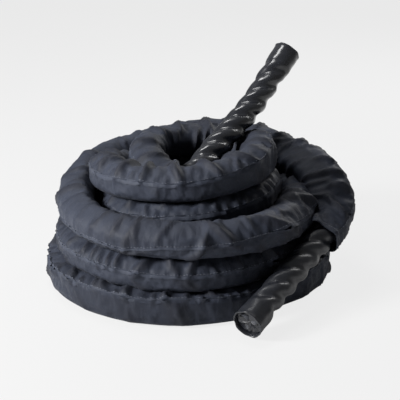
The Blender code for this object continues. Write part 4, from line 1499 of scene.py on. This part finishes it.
class ROPE_OT_stage(Operator):
    """Camera, floor, backdrop and soft lamps"""

    bl_idname = "battle_rope.stage"
    bl_label = "Studio"

    def execute(self, context):
        scene = context.scene
        scene.view_settings.view_transform = "Standard"
        sizes = rope_sizes()
        target = Vector(VIEW_MIDDLE) + Vector(packed_route()[3])
        back = Vector((0, -math.cos(sizes.camera_elevation), math.sin(sizes.camera_elevation)))
        data = bpy.data.cameras.new("studio_camera")
        data.lens = sizes.lens
        data.sensor_width = SENSOR_WIDTH
        data.clip_start = 0.05
        data.clip_end = 60.0
        camera = link(bpy.data.objects.new("studio_camera", data))
        camera.location = target + back * sizes.camera_distance
        camera.rotation_euler = (-back).to_track_quat("-Z", "Y").to_euler()
        scene.camera = camera
        self.lay_floor()
        self.light_world(scene)
        for name, (place, size, power) in LAMPS.items():
            self.hang_lamp(name, place, target, size, power)
        return {"FINISHED"}

    def hang_lamp(self, name, place, target, size, power):
        """One soft square lamp aimed at the rope."""
        data = bpy.data.lights.new(name, "AREA")
        data.shape = "SQUARE"
        data.size = size
        data.energy = power
        lamp = link(bpy.data.objects.new(name, data))
        lamp.location = place
        lamp.rotation_euler = (target - Vector(place)).to_track_quat("-Z", "Y").to_euler()

    def background_ray(self, tree):
        """1 where the backdrop is seen, less where it is mirrored, and 0 where it lights the rope."""
        path = add_node(tree, "ShaderNodeLightPath").outputs
        seen = math_node(tree, "MAXIMUM", path["Is Camera Ray"], path["Is Transmission Ray"])
        return math_node(tree, "MAXIMUM", seen, scaled(tree, path["Is Glossy Ray"], BACKDROP_MIRRORED))

    def lay_floor(self):
        """A wide pale floor that keeps a faint shadow."""
        mesh = bpy.data.meshes.new("studio_floor")
        corners = [(x * FLOOR_REACH, y * FLOOR_REACH, 0) for x, y in ((-1, -1), (1, -1), (1, 1), (-1, 1))]
        mesh.from_pydata(corners, [], [(0, 1, 2, 3)])
        floor = link(bpy.data.objects.new("studio_floor", mesh))
        material = bpy.data.materials.new("studio_floor_paint")
        material.use_nodes = True
        tree = material.node_tree
        tree.nodes.remove(tree.nodes["Principled BSDF"])
        pale = (*rope_colours().floor, 1)
        paint = add_node(tree, "ShaderNodeBsdfDiffuse", {"Color": pale})
        glow = add_node(tree, "ShaderNodeEmission", {"Color": pale})
        share = scaled(tree, self.background_ray(tree), BACKDROP_SEEN)
        mixed = add_node(tree, "ShaderNodeMixShader", {0: share, 1: paint.outputs[0], 2: glow.outputs[0]})
        feed(tree, tree.nodes["Material Output"], {"Surface": mixed.outputs[0]})
        mesh.materials.append(material)

    def light_world(self, scene):
        """A pale world that fills the shadows a little."""
        world = bpy.data.worlds.new("studio_world")
        world.use_nodes = True
        scene.world = world
        tree = world.node_tree
        strength = scaled(tree, self.background_ray(tree), BACKDROP_SEEN, plus=BACKDROP_LIGHT)
        feed(tree, tree.nodes["Background"], {"Color": (*rope_colours().floor, 1), "Strength": strength})


class ROPE_OT_strands(Operator):
    """The rope: three strands laid round each other from tip to tip"""

    bl_idname = "battle_rope.strands"
    bl_label = "Laid Rope"

    def execute(self, context):
        tubes, middle = laid_strands()
        mesh = capped_tubes("laid_rope", tubes)
        rope = place_piece("laid_rope", mesh, fibre_material(), "polyester_rope", "rope_core")
        return {"FINISHED"}


class ROPE_OT_sleeve(Operator):
    """The woven sleeve with its folds, and its two hems"""

    bl_idname = "battle_rope.sleeve"
    bl_label = "Woven Sleeve"

    def execute(self, context):
        at, points, around, depth = made_sleeve()
        chart = strip_map(at, around)
        mesh = grid_mesh("sleeve_cloth", points[:, ::-1], sheet_uv=chart[:, ::-1])
        # The fold attribute carries painted light and shade: a painted highlight on ridges and along the
        # seam's edge, with rubbing wear there, and painted shade in the valleys.
        from_seam = np.minimum(np.abs(around), np.abs(around - around[-1]))[::-1]
        highlit_and_rubbed = np.exp(-((from_seam / SEAM_RUB_AND_HIGHLIGHT) ** 2))
        fold = np.clip(depth[:, ::-1] / FOLD_SHOWN, -1, 1) * FOLD_TONE + LEVEL_TONE
        add_attribute(mesh, "fold", fold + (1 - fold) * highlit_and_rubbed)
        cloth = place_piece("sleeve_cloth", mesh, cloth_material(), "woven_nylon", "sleeve")
        for name, node, from_start in (
            ("hem_lower", "binding_lower", True),
            ("hem_upper", "binding_upper", False),
        ):
            hem = hem_piece(name, from_start)
            place_piece(name, hem, cloth_material(), "binding_tape", node)
        return {"FINISHED"}


class ROPE_OT_stitches(Operator):
    """The stitches of the long seam and of both hems"""

    bl_idname = "battle_rope.stitches"
    bl_label = "Seam Stitches"

    def execute(self, context):
        lines = [(seam_stitch_line(), False)]
        lines += [(hem_stitch_line(from_start), True) for from_start in (True, False)]
        obj = link(bpy.data.objects.new("seam_line", line_mesh("seam_line", lines)))
        modifier = obj.modifiers.new("stitches", "NODES")
        sizes = rope_sizes()
        lengths = {"Pitch": sizes.stitch_pitch, "Stitch Length": sizes.stitch_length,
                   "Thread Thickness": sizes.thread_thickness}
        values = {**lengths, "Seed": sizes.stitch_seed}
        modifier.node_group = stitch_tree(thread_material(), lengths, sizes.stitch_seed)
        for item in modifier.node_group.interface.items_tree:
            if item.item_type == "SOCKET" and item.in_out == "INPUT" and item.name in values:
                modifier[item.identifier] = values[item.name]
        mesh = baked(obj, "seam_stitches")
        mesh.shade_smooth()
        place_piece("seam_stitches", mesh, thread_material(), "binding_tape")
        return {"FINISHED"}


class ROPE_OT_grips(Operator):
    """Both grips: film shrunk over the strands, with a flared lip"""

    bl_idname = "battle_rope.grips"
    bl_label = "Film Grips"

    def execute(self, context):
        for name, node, at_start, seed, finish in (
            ("film_lower", "grip_lower", True, 31, film_material("shrunk_film_satin", 0.38, 0.0)),
            ("film_upper", "grip_upper", False, 32, film_material("shrunk_film_gloss", 0.26, 0.3)),
        ):
            place_piece(name, film_piece(name, at_start, seed), finish, "shrink_film", node)
        return {"FINISHED"}


class ROPE_OT_end_caps(Operator):
    """The crumpled film that closes each grip's end"""

    bl_idname = "battle_rope.end_caps"
    bl_label = "Closed Ends"

    def execute(self, context):
        finish = film_material("pressed_film", 0.34, 0.2)
        for name, node, at_start, seed in (
            ("pressed_end_lower", "end_cap_lower", True, 41),
            ("pressed_end_upper", "end_cap_upper", False, 42),
        ):
            place_piece(name, crumpled_cap(name, at_start, seed), finish, "shrink_film", node)
        return {"FINISHED"}


class ROPE_OT_whippings(Operator):
    """The tape round the strands under each grip"""

    bl_idname = "battle_rope.whippings"
    bl_label = "Whippings"

    def execute(self, context):
        for node in ("whipping_lower", "whipping_upper"):
            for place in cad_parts[node].material_slots:
                place.material = tape_material()
        return {"FINISHED"}


class ROPE_PT_panel(Panel):
    """Sizes, colours and pieces of the rope"""

    bl_idname = "ROPE_PT_panel"
    bl_label = "Battle Rope"
    bl_space_type = "VIEW_3D"
    bl_region_type = "UI"
    bl_category = "Rope"

    def draw(self, context):
        layout = self.layout
        for group in (context.scene.battle_rope_sizes, context.scene.battle_rope_colours):
            box = layout.box()
            for name in group.__annotations__:
                box.prop(group, name)
        for operator in OPERATORS:
            layout.operator(operator.bl_idname)


OPERATORS = (
    ROPE_OT_stage,
    ROPE_OT_strands,
    ROPE_OT_sleeve,
    ROPE_OT_stitches,
    ROPE_OT_grips,
    ROPE_OT_end_caps,
    ROPE_OT_whippings,
)
CLASSES = (RopeSizes, RopeColours) + OPERATORS + (ROPE_PT_panel,)


def register():
    """Registers the classes, and gives the scene its sizes and colours."""
    for kind in CLASSES:
        bpy.utils.register_class(kind)
    bpy.types.Scene.battle_rope_sizes = PointerProperty(type=RopeSizes)
    bpy.types.Scene.battle_rope_colours = PointerProperty(type=RopeColours)


def unregister():
    """Takes them away again."""
    del bpy.types.Scene.battle_rope_colours
    del bpy.types.Scene.battle_rope_sizes
    for kind in reversed(CLASSES):
        bpy.utils.unregister_class(kind)


def main():
    """Makes every piece in order."""
    register()
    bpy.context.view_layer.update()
    bpy.ops.battle_rope.stage()
    bpy.ops.battle_rope.strands()
    bpy.ops.battle_rope.sleeve()
    bpy.ops.battle_rope.stitches()
    bpy.ops.battle_rope.grips()
    bpy.ops.battle_rope.end_caps()
    bpy.ops.battle_rope.whippings()


if __name__ == "__main__":
    main()
